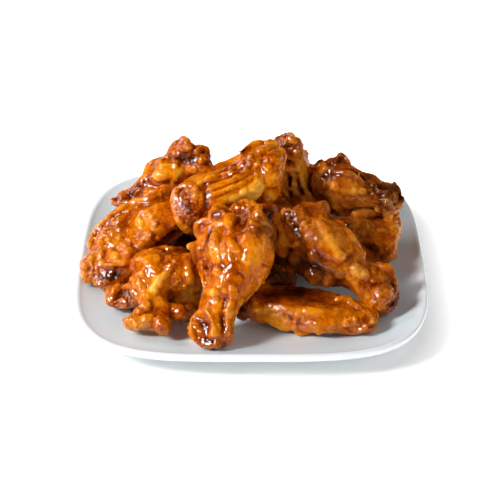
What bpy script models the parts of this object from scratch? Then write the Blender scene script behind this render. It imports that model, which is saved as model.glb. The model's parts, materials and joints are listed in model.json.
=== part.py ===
"""A serving of glazed chicken wings: a heap of drumettes and flats on a square white plate.

Units are metres and +Z is up. The origin is on the table, under the middle of the plate. Looking along +Y,
+X is to the right. Each wing is shaped in its own frame: x runs along its bone from the thin end to the fat
end, z is the upper side and y the left side, seen from the thin end. Its sizes are in millimetres there.
"""

import math

import bmesh
import bpy
from mathutils import Matrix, Vector

MM = 0.001

# --- Plate ---------------------------------------------------------------------------------------------
PLATE_HALF = 115 * MM  # half of the side, from middle to rim
SQUARENESS = 3.85  # power of the superellipse: 2 is a circle, large is a square
PLATE_STEPS = 48  # facets round the rim
RIM_Z = 18.0  # heights in mm above the table
WELL_Z = 6.0
UNDER_Z = 2.4
FOOT_MM = 70.0  # radius of the foot ring
SHARP_EDGE = math.radians(40)  # edges that turn by more than this stay crisp

# --- Wings ---------------------------------------------------------------------------------------------
VOXEL = 1.8 * MM  # grid on which the lobes of a wing grow together
SOFTEN_ROUNDS = 6
WING_TRIANGLES = 470
CONTACT_GAP = 0.35 * MM  # kept between two pieces that touch
WELD = 0.01 * MM  # points nearer than this are one point
BALL_STEPS = 3  # subdivisions of the balls and eggs that the wings are made of
SKIN_COLOUR = (0.50, 0.17, 0.03)
PORCELAIN_COLOUR = (0.86, 0.86, 0.87)


def clear_scene():
    for item in list(bpy.data.objects):
        bpy.data.objects.remove(item, do_unlink=True)


def new_collection(name):
    made = bpy.data.collections.new(name)
    bpy.context.scene.collection.children.link(made)
    return made


def add_finish(item, colour, roughness):
    """Gives the object its own plain material."""
    made = bpy.data.materials.new(item.name)
    made.use_nodes = True
    shader = made.node_tree.nodes["Principled BSDF"]
    shader.inputs["Base Color"].default_value = (*colour, 1.0)
    shader.inputs["Roughness"].default_value = roughness
    shader.inputs["Metallic"].default_value = 0.0
    item.data.materials.clear()
    item.data.materials.append(made)


def frozen(item, name):
    """The object's evaluated mesh, as a new mesh without modifiers."""
    graph = bpy.context.evaluated_depsgraph_get()
    made = bpy.data.meshes.new_from_object(item.evaluated_get(graph))
    made.name = name
    return made


# --- Plate ---------------------------------------------------------------------------------------------
def plate_profile():
    """Half of the plate's section as (radius, height) in mm, from the middle of the well, over the rim and
    under the foot, back to the middle."""
    well = [(0.0, WELL_Z), (44.0, WELL_Z), (70.0, WELL_Z + 0.5)]
    slope = [(88.0, WELL_Z + 3.0), (101.0, WELL_Z + 7.0), (110.0, WELL_Z + 10.6)]
    lip = [(113.6, RIM_Z), (115.0, RIM_Z - 1.0), (114.4, RIM_Z - 5.2)]
    under = [(104.0, 9.0), (88.0, 4.4), (FOOT_MM + 5.0, 2.6)]
    foot = [(FOOT_MM + 3.0, 0.0), (FOOT_MM - 3.0, 0.0), (FOOT_MM - 5.0, UNDER_Z), (0.0, UNDER_Z)]
    return well + slope + lip + under + foot


def squircle(point):
    """Moves a point of a round plate out to the square plate with bulging sides."""
    angle = math.atan2(point.y, point.x)
    spread = (abs(math.cos(angle)) ** SQUARENESS + abs(math.sin(angle)) ** SQUARENESS) ** (1 / SQUARENESS)
    return Vector((point.x / spread, point.y / spread, point.z))


def make_plate(parts):
    mesh = bpy.data.meshes.new("plate_profile")
    profile = [(radius * MM, 0.0, height * MM) for radius, height in plate_profile()]
    mesh.from_pydata(profile, [(i, i + 1) for i in range(len(profile) - 1)], [])
    turned = bpy.data.objects.new("plate_turned", mesh)
    parts.objects.link(turned)
    screw = turned.modifiers.new("turn", "SCREW")
    screw.steps = PLATE_STEPS
    screw.render_steps = PLATE_STEPS
    screw.use_merge_vertices = True
    screw.merge_threshold = WELD
    plate = bpy.data.objects.new("plate", frozen(turned, "plate"))
    bpy.data.objects.remove(turned)
    for vertex in plate.data.vertices:
        vertex.co = squircle(vertex.co)
    plate.data.shade_smooth()
    plate.data.set_sharp_from_angle(angle=SHARP_EDGE)
    parts.objects.link(plate)
    add_finish(plate, PORCELAIN_COLOUR, 0.12)
    return plate


# --- Shapes that a wing is built up from ---------------------------------------------------------------
def limb(points):
    """A tapered tube with round ends through (along, side, up, radius) points, as a mesh in metres."""
    curve = bpy.data.curves.new("limb", "CURVE")
    curve.dimensions = "3D"
    curve.bevel_depth = 1.0
    curve.bevel_resolution = 3
    curve.resolution_u = 5
    curve.use_fill_caps = True
    spline = curve.splines.new("NURBS")
    spline.points.add(len(points) - 1)
    for knot, (along, side, up, radius) in zip(spline.points, points):
        knot.co = (along * MM, side * MM, up * MM, 1.0)
        knot.radius = radius * MM
    spline.order_u = 3
    spline.use_endpoint_u = True
    item = bpy.data.objects.new("limb", curve)
    bpy.context.scene.collection.objects.link(item)
    bpy.context.view_layer.update()
    mesh = frozen(item, "limb")
    bpy.data.objects.remove(item)
    body = bmesh.new()
    body.from_mesh(mesh)
    bmesh.ops.remove_doubles(body, verts=body.verts, dist=WELD)
    for along, side, up, radius in (points[0], points[-1]):
        centre = Matrix.Translation((along * MM, side * MM, up * MM))
        bmesh.ops.create_icosphere(body, subdivisions=BALL_STEPS, radius=radius * MM, matrix=centre)
    body.to_mesh(mesh)
    body.free()
    return mesh


def lobe(at, size):
    """An egg-shaped lump of meat or skin at (along, side, up), with half sizes in mm."""
    body = bmesh.new()
    place = Matrix.Translation(Vector(at) * MM)
    stretch = Matrix.Diagonal((*(Vector(size) * MM), 1.0))
    bmesh.ops.create_icosphere(body, subdivisions=BALL_STEPS, radius=1.0, matrix=place @ stretch)
    mesh = bpy.data.meshes.new("lobe")
    body.to_mesh(mesh)
    body.free()
    return mesh


def drumette_shapes(ends, belly, neck, knob, bend=0.0):
    """One bone: a knuckle, a narrow neck and a fat end of meat. bend lifts the middle, in mm."""
    length = math.dist(*ends)
    bone = [
        (-2, 0, 0, knob * 0.9),
        (length * 0.12, 0, bend * 0.3, knob * 0.85),
        (length * 0.27, 0, bend * 0.8, neck),
        (length * 0.47, 0, bend, belly * 0.68),
        (length * 0.68, 0, bend * 0.8, belly),
        (length * 0.90, 0, bend * 0.4, belly * 0.98),
        (length * 1.08, 0, 0, belly * 0.72),
    ]
    knuckles = [lobe((-3, knob * 0.45, -1), (knob * 0.8, knob * 0.7, knob * 0.9))]
    knuckles.append(lobe((-3, -knob * 0.45, 1), (knob * 0.75, knob * 0.7, knob * 0.85)))
    return [limb(bone), *knuckles]


def flat_shapes(ends, width, thick, bend=0.0):
    """Two bones side by side under one skin, with a groove between them and a thin edge of skin."""
    length = math.dist(*ends)
    side = width * 0.5 - thick * 0.48
    stout = [
        (0, side * 0.55, 0, thick * 0.44),
        (length * 0.25, side, bend, thick * 0.47),
        (length * 0.60, side, bend, thick * 0.52),
        (length, side * 0.75, 0, thick * 0.50),
    ]
    slim = [
        (0, -side * 0.6, 0, thick * 0.42),
        (length * 0.30, -side * 1.1, bend, thick * 0.40),
        (length * 0.70, -side * 1.1, bend, thick * 0.42),
        (length, -side * 0.7, 0, thick * 0.46),
    ]
    web = lobe((length * 0.5, 0, bend * 0.8), (length * 0.52, width * 0.40, thick * 0.36))
    return [limb(stout), limb(slim), web]


# --- From shapes to a wing on the heap -----------------------------------------------------------------
def wing_frame(ends):
    """The matrix of a wing whose bone runs between these two ends, in mm, with its upper side upward."""
    thin_end, fat_end = ends
    along = (Vector(fat_end) - Vector(thin_end)).normalized()
    side = Vector((0, 0, 1)).cross(along).normalized()
    up = along.cross(side)
    turned = Matrix((along, side, up)).transposed().to_4x4()
    return Matrix.Translation(Vector(thin_end) * MM) @ turned


def grow_together(parts, name, shapes, frame):
    """Joins the shapes into one smooth skin of few triangles, and puts it in its place."""
    body = bmesh.new()
    for mesh in shapes:
        body.from_mesh(mesh)
        bpy.data.meshes.remove(mesh)
    joined = bpy.data.meshes.new(name + "_shapes")
    body.to_mesh(joined)
    body.free()
    raw = bpy.data.objects.new(name + "_shapes", joined)
    parts.objects.link(raw)
    fuse = raw.modifiers.new("fuse", "REMESH")
    fuse.mode = "VOXEL"
    fuse.voxel_size = VOXEL
    soften = raw.modifiers.new("soften", "SMOOTH")
    soften.factor = 0.5
    soften.iterations = SOFTEN_ROUNDS
    thin_out = raw.modifiers.new("thin_out", "DECIMATE")
    fused = frozen(raw, name)
    thin_out.ratio = WING_TRIANGLES / (2 * len(fused.polygons))
    bpy.data.meshes.remove(fused)
    bpy.context.view_layer.update()
    wing = bpy.data.objects.new(name, frozen(raw, name))
    bpy.data.objects.remove(raw)
    wing.data.transform(frame)
    wing.data.shade_smooth()
    parts.objects.link(wing)
    add_finish(wing, SKIN_COLOUR, 0.3)
    return wing


def swollen_copy(cutters, item):
    """A copy of the object, larger by the contact gap, that cuts what lies against it."""
    copy = bpy.data.objects.new(item.name + "_cutter", item.data)
    copy.hide_render = True
    copy.display_type = "WIRE"
    swell = copy.modifiers.new("swell", "DISPLACE")
    swell.strength = CONTACT_GAP
    swell.mid_level = 0.0
    cutters.objects.link(copy)
    return copy


def boxes_meet(first, second):
    """True where the bounding boxes of two meshes reach each other."""
    spans = []
    for item in (first, second):
        corners = [vertex.co for vertex in item.data.vertices]
        spans.append([(min(c[i] for c in corners), max(c[i] for c in corners)) for i in range(3)])
    return all(a[0] <= b[1] + MM and b[0] <= a[1] + MM for a, b in zip(*spans))


def press_together(wings, plate, cutters):
    """Dents each wing where an earlier one in the list lies on it, and flattens it against the plate."""
    moulds = {item.name: swollen_copy(cutters, item) for item in [plate, *wings]}
    for order, wing in enumerate(wings):
        for other in [plate, *wings[:order]]:
            if not boxes_meet(wing, other):
                continue
            press = wing.modifiers.new("under_" + other.name, "BOOLEAN")
            press.operation = "DIFFERENCE"
            press.object = moulds[other.name]


# --- The wings of this heap, from the ones on top down ---------------------------------------------------
def front_drumette():
    """Leans on the heap with its knuckle on the plate, its fat end open and folded."""
    ends = (-24, -88, 20), (0, -42, 55)
    shapes = drumette_shapes(ends, belly=21, neck=12.5, knob=14, bend=3)
    folds = [lobe((50, 26, 0), (9, 6, 8)), lobe((62, 31, 2), (8, 8, 7)), lobe((73, 26, 5), (8, 8, 8))]
    rim = [lobe((84, 10, 4), (6, 9, 8)), lobe((84, -6, 6), (7, 8, 7))]
    meat = [lobe((64, -6, 9), (18, 12, 14)), lobe((56, 16, 4), (18, 12, 14))]
    return shapes + folds + rim + meat, wing_frame(ends)


def right_drumette():
    """Lies against the heap, thin end down on the plate at the right."""
    ends = (81, -54, 20), (38, -24, 48)
    shapes = drumette_shapes(ends, belly=20, neck=10.5, knob=12, bend=2)
    flap = [lobe((66, -15, 8), (8, 9, 12)), lobe((74, -13, -4), (8, 10, 11)), lobe((72, 0, 6), (8, 12, 10))]
    meat = [lobe((48, 4, 8), (20, 14, 13)), lobe((38, 8, -4), (16, 12, 12))]
    knuckle = [lobe((-6, -2, -5), (8, 11, 9))]
    return shapes + flap + meat + knuckle, wing_frame(ends)


def top_flat():
    """The highest wing, with both bones showing as ridges along it."""
    ends = (-41, -9, 61), (8, 18, 75)
    shapes = flat_shapes(ends, width=42, thick=25, bend=3)
    joint = [lobe((-2, -2, -5), (10, 11, 15)), lobe((0, 8, 0), (9, 9, 11))]
    shoulder = [lobe((50, 0, 2), (16, 20, 14)), lobe((36, -8, 0), (18, 15, 12))]
    return shapes + joint + shoulder, wing_frame(ends)


def left_flat():
    ends = (-95, -26, 22), (-50, 14, 46)
    shapes = flat_shapes(ends, width=48, thick=25, bend=3)
    joint = [lobe((-4, 6, 0), (10, 15, 11)), lobe((-3, -9, -3), (10, 9, 9))]
    shoulder = [lobe((50, 2, 2), (16, 22, 13)), lobe((22, 10, 4), (20, 17, 10))]
    return shapes + joint + shoulder, wing_frame(ends)


def back_left_drumette():
    ends = (-84, 46, 33), (-46, 51, 54)
    shapes = drumette_shapes(ends, belly=17, neck=11, knob=10, bend=2)
    rim = [lobe((56, -4, 14), (6, 6, 7)), lobe((58, -12, 0), (7, 8, 9)), lobe((46, 6, 12), (9, 10, 8))]
    meat = [lobe((28, 4, 6), (14, 12, 12))]
    return shapes + rim + meat, wing_frame(ends)


def right_back_drumette():
    ends = (91, 21, 50), (55, 29, 55)
    shapes = drumette_shapes(ends, belly=19, neck=12.5, knob=11.5, bend=2)
    bumps = [lobe((27, 2, 13), (9, 9, 7)), lobe((42, -2, 13), (8, 9, 8)), lobe((16, -2, 4), (12, 13, 12))]
    return shapes + bumps, wing_frame(ends)


def upright_drumette():
    """Stands behind the top flat with its knuckle up."""
    ends = (26, 42, 74), (38, 42, 32)
    shapes = drumette_shapes(ends, belly=21, neck=13, knob=10)
    bumps = [lobe((-6, -5, 3), (7, 8, 7)), lobe((12, 8, 6), (10, 9, 10)), lobe((24, 10, 8), (12, 11, 11))]
    return shapes + bumps, wing_frame(ends)


def right_lower_flat():
    ends = (42, 6, 24), (84, 4, 22)
    shapes = flat_shapes(ends, width=46, thick=28)
    meat = [lobe((43, 2, 2), (13, 20, 14)), lobe((28, 4, 9), (14, 12, 9)), lobe((45, 14, 4), (9, 9, 10))]
    return shapes + meat, wing_frame(ends)


def front_left_drumette():
    """Lies with its fat end towards the front, so only that end and some rags of skin show."""
    ends = (-42, 6, 18), (-58, -44, 28)
    shapes = drumette_shapes(ends, belly=21, neck=11, knob=12, bend=-4)
    meat = [lobe((54, -6, 6), (14, 16, 13)), lobe((52, 10, 4), (15, 14, 13))]
    rags = [lobe((64, -24, -15), (8, 11, 6)), lobe((86, -3, -18), (7, 13, 5)), lobe((86, 14, -17), (8, 7, 6))]
    links = [lobe((60, -12, -10), (12, 9, 8)), lobe((74, 5, -11), (11, 12, 8))]
    return shapes + meat + rags + links, wing_frame(ends)


def front_flat():
    ends = (73, -74, 16), (6, -57, 18)
    shapes = flat_shapes(ends, width=36, thick=19, bend=2)
    meat = [lobe((52, 0, 1), (20, 17, 9))]
    return shapes + meat, wing_frame(ends)


def middle_drumette():
    """Fills the gap under the front and top wings; one end of it shows."""
    ends = (17, -36, 24), (14, 18, 34)
    shapes = drumette_shapes(ends, belly=22, neck=14, knob=12)
    return shapes + [lobe((40, -8, 8), (16, 14, 14))], wing_frame(ends)


def middle_back_flat():
    """Carries the top flat from behind."""
    ends = (-34, 28, 39), (14, 46, 43)
    return flat_shapes(ends, width=46, thick=28), wing_frame(ends)


def back_drumette():
    ends = (70, 62, 22), (12, 76, 26)
    shapes = drumette_shapes(ends, belly=20, neck=11, knob=13)
    return shapes + [lobe((48, 6, 6), (16, 14, 13))], wing_frame(ends)


def back_left_lower_flat():
    ends = (-82, 27, 20), (-26, 66, 22)
    return flat_shapes(ends, width=40, thick=23), wing_frame(ends)


TOP_DOWN = (
    front_drumette,
    right_drumette,
    top_flat,
    left_flat,
    back_left_drumette,
    right_back_drumette,
    upright_drumette,
    front_left_drumette,
    front_flat,
    right_lower_flat,
    middle_back_flat,
    middle_drumette,
    back_drumette,
    back_left_lower_flat,
)


def main():
    clear_scene()
    parts = new_collection("chicken_wings_serving")
    cutters = new_collection("cutters")
    plate = make_plate(parts)
    wings = []
    for shape_wing in TOP_DOWN:
        shapes, frame = shape_wing()
        wings.append(grow_together(parts, shape_wing.__name__, shapes, frame))
    press_together(wings, plate, cutters)


main()
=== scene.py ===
# %% [markdown]
# # A heap of glazed chicken wings on a square plate
#
# Fried wings are tossed in a sticky glaze and piled up on a plate. The solid model gives the place and
# the rough form of every wing. This script makes what the eye sees: skin that is folded, wrinkled and
# blistered, glaze that pools red in the creases, and the fine smooth porcelain under it all.
#
# First come the helpers, then the plate, then the tools that shape a wing and the finish of its skin.
# After that each wing gets its own folds, and last the stage is set with floor, lights and camera.
# Everything is in metres, and a length that a cook would give in millimetres is multiplied by MM.

import json
import math
from collections import namedtuple

import bmesh
import bpy
import numpy as np
from mathutils import Matrix, Vector
from mathutils.bvhtree import BVHTree

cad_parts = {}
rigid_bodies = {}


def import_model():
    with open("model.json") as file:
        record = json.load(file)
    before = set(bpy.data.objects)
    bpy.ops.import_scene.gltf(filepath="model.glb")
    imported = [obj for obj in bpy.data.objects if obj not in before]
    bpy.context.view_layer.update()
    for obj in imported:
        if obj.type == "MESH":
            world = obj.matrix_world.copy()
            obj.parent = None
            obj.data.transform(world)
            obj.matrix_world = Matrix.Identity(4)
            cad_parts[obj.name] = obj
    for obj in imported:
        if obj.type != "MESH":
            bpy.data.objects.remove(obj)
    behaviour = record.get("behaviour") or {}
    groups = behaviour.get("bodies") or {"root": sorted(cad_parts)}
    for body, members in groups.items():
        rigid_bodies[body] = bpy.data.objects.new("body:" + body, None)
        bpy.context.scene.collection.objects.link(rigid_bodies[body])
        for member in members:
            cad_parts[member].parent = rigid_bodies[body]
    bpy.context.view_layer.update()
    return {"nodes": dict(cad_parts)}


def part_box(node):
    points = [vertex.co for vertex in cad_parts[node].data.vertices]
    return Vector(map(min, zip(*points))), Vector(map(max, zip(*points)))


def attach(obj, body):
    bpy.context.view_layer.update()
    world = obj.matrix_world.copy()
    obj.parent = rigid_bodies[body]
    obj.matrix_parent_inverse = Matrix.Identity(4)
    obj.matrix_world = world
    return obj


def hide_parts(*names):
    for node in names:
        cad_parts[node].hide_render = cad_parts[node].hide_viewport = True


for leftover in list(bpy.data.objects):
    bpy.data.objects.remove(leftover, do_unlink=True)
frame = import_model()
MM = 0.001

# %% [markdown]
# ## Small helpers for node trees
#
# Materials and Geometry Nodes are both trees of nodes. Adding nodes by hand takes three lines each:
# make it, set it, link it. One helper does all three, so that a tree reads like a recipe. An input is
# either a plain value or the output socket of an earlier node.

# %% Add and fill nodes
def fill(tree, node, inputs):
    """Fills a node's inputs by name or number: a socket is linked, and a plain value is set."""
    for key, value in inputs.items():
        if isinstance(value, bpy.types.NodeSocket):
            tree.links.new(value, node.inputs[key])
        else:
            node.inputs[key].default_value = value


def add_node(tree, kind, inputs=None, **settings):
    """Adds a node, sets its properties, and fills its inputs."""
    node = tree.nodes.new(kind)
    for name, value in settings.items():
        setattr(node, name, value)
    fill(tree, node, inputs or {})
    return node


def calc(tree, operation, *values):
    """A Math node on numbers or sockets; gives its output socket."""
    return add_node(tree, "ShaderNodeMath", dict(enumerate(values)), operation=operation).outputs[0]


def vector(tree, operation, *values):
    """A Vector Math node; gives its vector output."""
    return add_node(tree, "ShaderNodeVectorMath", dict(enumerate(values)), operation=operation).outputs[0]


def new_material(name):
    """A new material, with its tree and the Principled shader in it."""
    material = bpy.data.materials.new(name)
    material.use_nodes = True
    return material, material.node_tree, material.node_tree.nodes["Principled BSDF"]


print("helpers for nodes are ready")

# %% [markdown]
# ## From a tree to a plain mesh
#
# A Geometry Nodes tree works as a modifier. Its inputs are set by their identifiers, because two inputs
# may share a name. When the tree has done its work, the result is kept as a plain mesh and the modifier
# goes away. What is left is simple to measure and to hand on.

# %% Run a tree and keep its result
def new_tree(name, sizes):
    """A Geometry Nodes tree with a geometry input and output, and named inputs for its sizes."""
    tree = bpy.data.node_groups.new(name, "GeometryNodeTree")
    tree.interface.new_socket("Geometry", in_out="INPUT", socket_type="NodeSocketGeometry")
    tree.interface.new_socket("Geometry", in_out="OUTPUT", socket_type="NodeSocketGeometry")
    for label, value in sizes.items():
        kind = "NodeSocketVector" if isinstance(value, tuple) else "NodeSocketFloat"
        tree.interface.new_socket(label, in_out="INPUT", socket_type=kind).default_value = value
    return tree


def finish_tree(tree, geometry, material):
    """Ends a tree: smooth shading, real meshes instead of instances, the material, and the output."""
    smooth = add_node(tree, "GeometryNodeSetShadeSmooth", {"Geometry": geometry})
    real = add_node(tree, "GeometryNodeRealizeInstances", {"Geometry": smooth.outputs[0]})
    dressed = add_node(tree, "GeometryNodeSetMaterial", {"Geometry": real.outputs[0], "Material": material})
    add_node(tree, "NodeGroupOutput", {"Geometry": dressed.outputs[0]})
    return tree


def freeze(item):
    """Replaces the object's mesh by what its modifiers make of it, and removes them."""
    bpy.context.view_layer.update()
    graph = bpy.context.evaluated_depsgraph_get()
    mesh = bpy.data.meshes.new_from_object(item.evaluated_get(graph))
    item.modifiers.clear()
    old = item.data
    item.data = mesh
    mesh.name = item.name
    bpy.data.meshes.remove(old)


def run_tree(item, tree, **values):
    """Hangs the tree on the object, sets its inputs by identifier, and freezes the result."""
    modifier = item.modifiers.new(tree.name, "NODES")
    modifier.node_group = tree
    for socket in tree.interface.items_tree:
        key = socket.name.lower().replace(" ", "_")
        if socket.item_type == "SOCKET" and socket.in_out == "INPUT" and key in values:
            modifier[socket.identifier] = values[key]
    freeze(item)


def new_object(name, data):
    """A new object with this mesh, light or camera, in the scene."""
    item = bpy.data.objects.new(name, data)
    bpy.context.scene.collection.objects.link(item)
    return item


print("helpers for Geometry Nodes are ready")

# %% [markdown]
# ## How far out a spot lies
#
# The outline of the plate is a superellipse: a circle pushed out towards a square. The same rule can
# measure distances. A point is raised to a power on both axes and the root is taken again, so that the
# whole square rim gets one value, as a circle does with plain distance. The colour of the plate follows
# this number, and later the floor round the plate does too.

# %% Measure from the middle
SQUARENESS = 3.85


def reach_from_middle(tree):
    """How far out a point lies, counted so that the whole square rim of the plate has one value."""
    place = add_node(tree, "ShaderNodeTexCoord").outputs["Object"]
    parts = add_node(tree, "ShaderNodeSeparateXYZ", {0: place}).outputs
    sides = [calc(tree, "POWER", calc(tree, "ABSOLUTE", parts[axis]), SQUARENESS) for axis in "XY"]
    return calc(tree, "POWER", calc(tree, "ADD", *sides), 1 / SQUARENESS)


print("squareness of the plate:", SQUARENESS)

# %% [markdown]
# ## Porcelain
#
# Glazed porcelain is a white body under a thin clear glass. The body scatters light and the glass gives
# a soft reflection, which is just what a Principled shader with a coat does. White beside orange food
# picks up its warm light, so the well of the plate has a slightly cool tint and looks neutral in the
# end, while the rim is a plain white. A wide, faint noise moves the white a little, because no plate is
# perfectly even. The gloss is one number all over: on smooth glass, patches of it would look like dirt.

# %% Make the porcelain
WELL_TINT = (0.78, 0.92, 0.98, 1)
RIM_TINT = (0.84, 0.87, 0.89, 1)
RIM_SHARE, NOISE_SHARE = 0.8, 0.2


def make_porcelain():
    material, tree, shader = new_material("porcelain")
    place = add_node(tree, "ShaderNodeTexCoord").outputs["Object"]
    cloud = add_node(tree, "ShaderNodeTexNoise", {"Vector": place, "Scale": 14.0, "Detail": 3.0})
    rim = add_node(tree, "ShaderNodeMapRange", {"Value": reach_from_middle(tree), "From Min": 104 * MM,
                                                "From Max": 114 * MM}).outputs["Result"]
    blend = calc(tree, "MULTIPLY_ADD", cloud.outputs["Fac"], NOISE_SHARE,
                 calc(tree, "MULTIPLY", rim, RIM_SHARE))
    tint = add_node(tree, "ShaderNodeValToRGB", {"Fac": blend})
    tint.color_ramp.elements[0].color = WELL_TINT
    tint.color_ramp.elements[1].color = RIM_TINT
    fill(tree, shader, {"Base Color": tint.outputs["Color"], "Roughness": 0.27, "IOR": 1.5,
                        "Coat Weight": 0.4, "Coat Roughness": 0.25})
    return material


porcelain = make_porcelain()
print("material:", porcelain.name)

# %% [markdown]
# ## The section of the plate
#
# The plate is pressed from one slab, so its section is the same all the way round: a flat well, a soft
# rise, a thin rounded lip, and a foot ring underneath. It could be modelled as a block that is pushed
# into shape, but a section is how a potter thinks of it, and it stays exact. A dozen corner points are
# enough, because cutting their corners three times over turns them into a soft curve.

# %% Draw the section of the plate
def round_off(points, rounds):
    """Cuts the corners of an open line again and again, until they are round."""
    for _ in range(rounds):
        cut = [points[0]]
        for (x0, z0), (x1, z1) in zip(points, points[1:]):
            cut.append((0.75 * x0 + 0.25 * x1, 0.75 * z0 + 0.25 * z1))
            cut.append((0.25 * x0 + 0.75 * x1, 0.25 * z0 + 0.75 * z1))
        points = cut + [points[-1]]
    return points


def plate_section():
    """Half of the section as (radius, height) in mm, out over the well and rim and back under the foot."""
    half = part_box("plate")[1].x / MM
    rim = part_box("plate")[1].z / MM
    well = [(0, 6), (20, 6), (46, 6), (70, 6.4), (88, 8.9), (101, 12.8), (half - 5, rim - 1.5)]
    lip = [(half - 2.6, rim + 0.1), (half - 0.4, rim + 0.2),
           (half + 0.2, rim - 2.0), (half - 0.5, rim - 5.2)]
    under = [(104, 8.8), (88, 4.4), (75, 2.5), (73.6, 0.0), (70, 0.0)]
    foot = [(67, 0.0), (65, 2.4), (30, 2.4), (0, 2.4)]
    return round_off(well + lip + under + foot, 3)


section = plate_section()
print("points in the section:", len(section))

# %% [markdown]
# ## The plate, turned by Geometry Nodes
#
# A round plate could be spun. This one follows its square outline instead, and that is a rule, so
# Geometry Nodes can make it. A grid has one row for every point of the section and one column for every
# step round the plate. Each vertex looks up its radius and height in the section, takes its angle from
# its column, and moves in or out by the rule of the outline. The seam and the two middle points are
# merged at the end, so that the porcelain is closed.

# %% Build the tree of the plate
def plate_tree(rows):
    tree = new_tree("plate_from_section", {"Squareness": SQUARENESS, "Steps": 256.0})
    start = add_node(tree, "NodeGroupInput").outputs
    columns = calc(tree, "ADD", start["Steps"], 1.0)
    grid = add_node(tree, "GeometryNodeMeshGrid", {"Vertices X": columns, "Vertices Y": rows})
    index = add_node(tree, "GeometryNodeInputIndex").outputs[0]
    row = calc(tree, "MODULO", index, float(rows))
    column = calc(tree, "FLOOR", calc(tree, "DIVIDE", index, float(rows)))
    angle = calc(tree, "MULTIPLY", calc(tree, "DIVIDE", column, start["Steps"]), 2 * math.pi)
    place = add_node(tree, "GeometryNodeInputPosition").outputs[0]
    lookup = add_node(tree, "GeometryNodeSampleIndex", {"Geometry": start["Geometry"]},
                      data_type="FLOAT_VECTOR")
    fill(tree, lookup, {"Value": place, "Index": row})
    found = add_node(tree, "ShaderNodeSeparateXYZ", {0: lookup.outputs[0]}).outputs
    cosine, sine = calc(tree, "COSINE", angle), calc(tree, "SINE", angle)
    power = start["Squareness"]
    bulge = [calc(tree, "POWER", calc(tree, "ABSOLUTE", side), power) for side in (cosine, sine)]
    spread = calc(tree, "POWER", calc(tree, "ADD", *bulge), calc(tree, "DIVIDE", 1.0, power))
    reach = calc(tree, "DIVIDE", found["X"], spread)
    sides = [calc(tree, "MULTIPLY", reach, side) for side in (cosine, sine)]
    target = add_node(tree, "ShaderNodeCombineXYZ", {0: sides[0], 1: sides[1], 2: found["Z"]})
    moved = add_node(tree, "GeometryNodeSetPosition", {"Geometry": grid.outputs["Mesh"],
                                                       "Position": target.outputs[0]})
    merged = add_node(tree, "GeometryNodeMergeByDistance", {"Geometry": moved.outputs[0],
                                                            "Distance": 0.01 * MM})
    return finish_tree(tree, merged.outputs[0], porcelain)


turned_section = plate_tree(len(section))
print("inputs of the plate's tree:", [item.name for item in turned_section.interface.items_tree])


# %% Turn the section into the plate
def face_outwards(mesh):
    """Makes every face of a closed mesh point out."""
    body = bmesh.new()
    body.from_mesh(mesh)
    bmesh.ops.recalc_face_normals(body, faces=body.faces)
    body.to_mesh(mesh)
    body.free()


section_mesh = bpy.data.meshes.new("plate_section")
section_edges = [(i, i + 1) for i in range(len(section) - 1)]
section_mesh.from_pydata([(radius * MM, 0.0, height * MM) for radius, height in section], section_edges, [])
plate = new_object("porcelain_plate", section_mesh)
run_tree(plate, turned_section)
face_outwards(plate.data)
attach(plate, "root")
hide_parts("plate")
print("plate faces:", len(plate.data.polygons), "width in mm:", round(plate.dimensions.x / MM, 1))

# %% [markdown]
# ## Softening the solids
#
# The solid of a wing is a few blunt volumes that meet in hard edges. Meat has no such edges. Sculpting
# by hand would round them, but a voxel remesh does it evenly: it wraps everything that overlaps in one
# skin of small squares, and a smoothing after it takes the steps away. It is used twice, coarse for the
# body of a wing, and fine once its folds are on.

# %% Wrap a body in one skin
BODY_VOXEL, BODY_SMOOTHING = 1.6 * MM, 14
SKIN_VOXEL, SKIN_SMOOTHING = 0.55 * MM, 5


def remesh(item, voxel, smooth_rounds):
    """Grows the object's overlapping parts into one even skin, and softens it."""
    fuse = item.modifiers.new("fuse", "REMESH")
    fuse.mode = "VOXEL"
    fuse.voxel_size = voxel
    soften = item.modifiers.new("soften", "SMOOTH")
    soften.factor = 0.5
    soften.iterations = smooth_rounds
    freeze(item)


def read_rows(mesh, name):
    """A table with the place (co) or the normal of every vertex."""
    flat = np.empty(len(mesh.vertices) * 3)
    mesh.vertices.foreach_get(name, flat)
    return flat.reshape(-1, 3)


print("grid of the body and of the skin in mm:", BODY_VOXEL / MM, SKIN_VOXEL / MM)

# %% [markdown]
# ## A wing and its own directions
#
# To shape a wing we need to say where on it something is: how far along the bone, and at which angle
# round it. The longest direction of its points is the bone. Angle 0 looks up, and 90 looks to the left
# of somebody who looks along the bone towards the middle of the heap. A ray from outside towards the
# bone then finds the place on the skin. Saying it this way, and not in metres from the middle of the
# plate, means that a fold stays on its wing wherever the solid model puts the wing.

# %% Wings as places to work on
FAR_OUT = 80   # mm from the bone, outside of any wing


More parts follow.
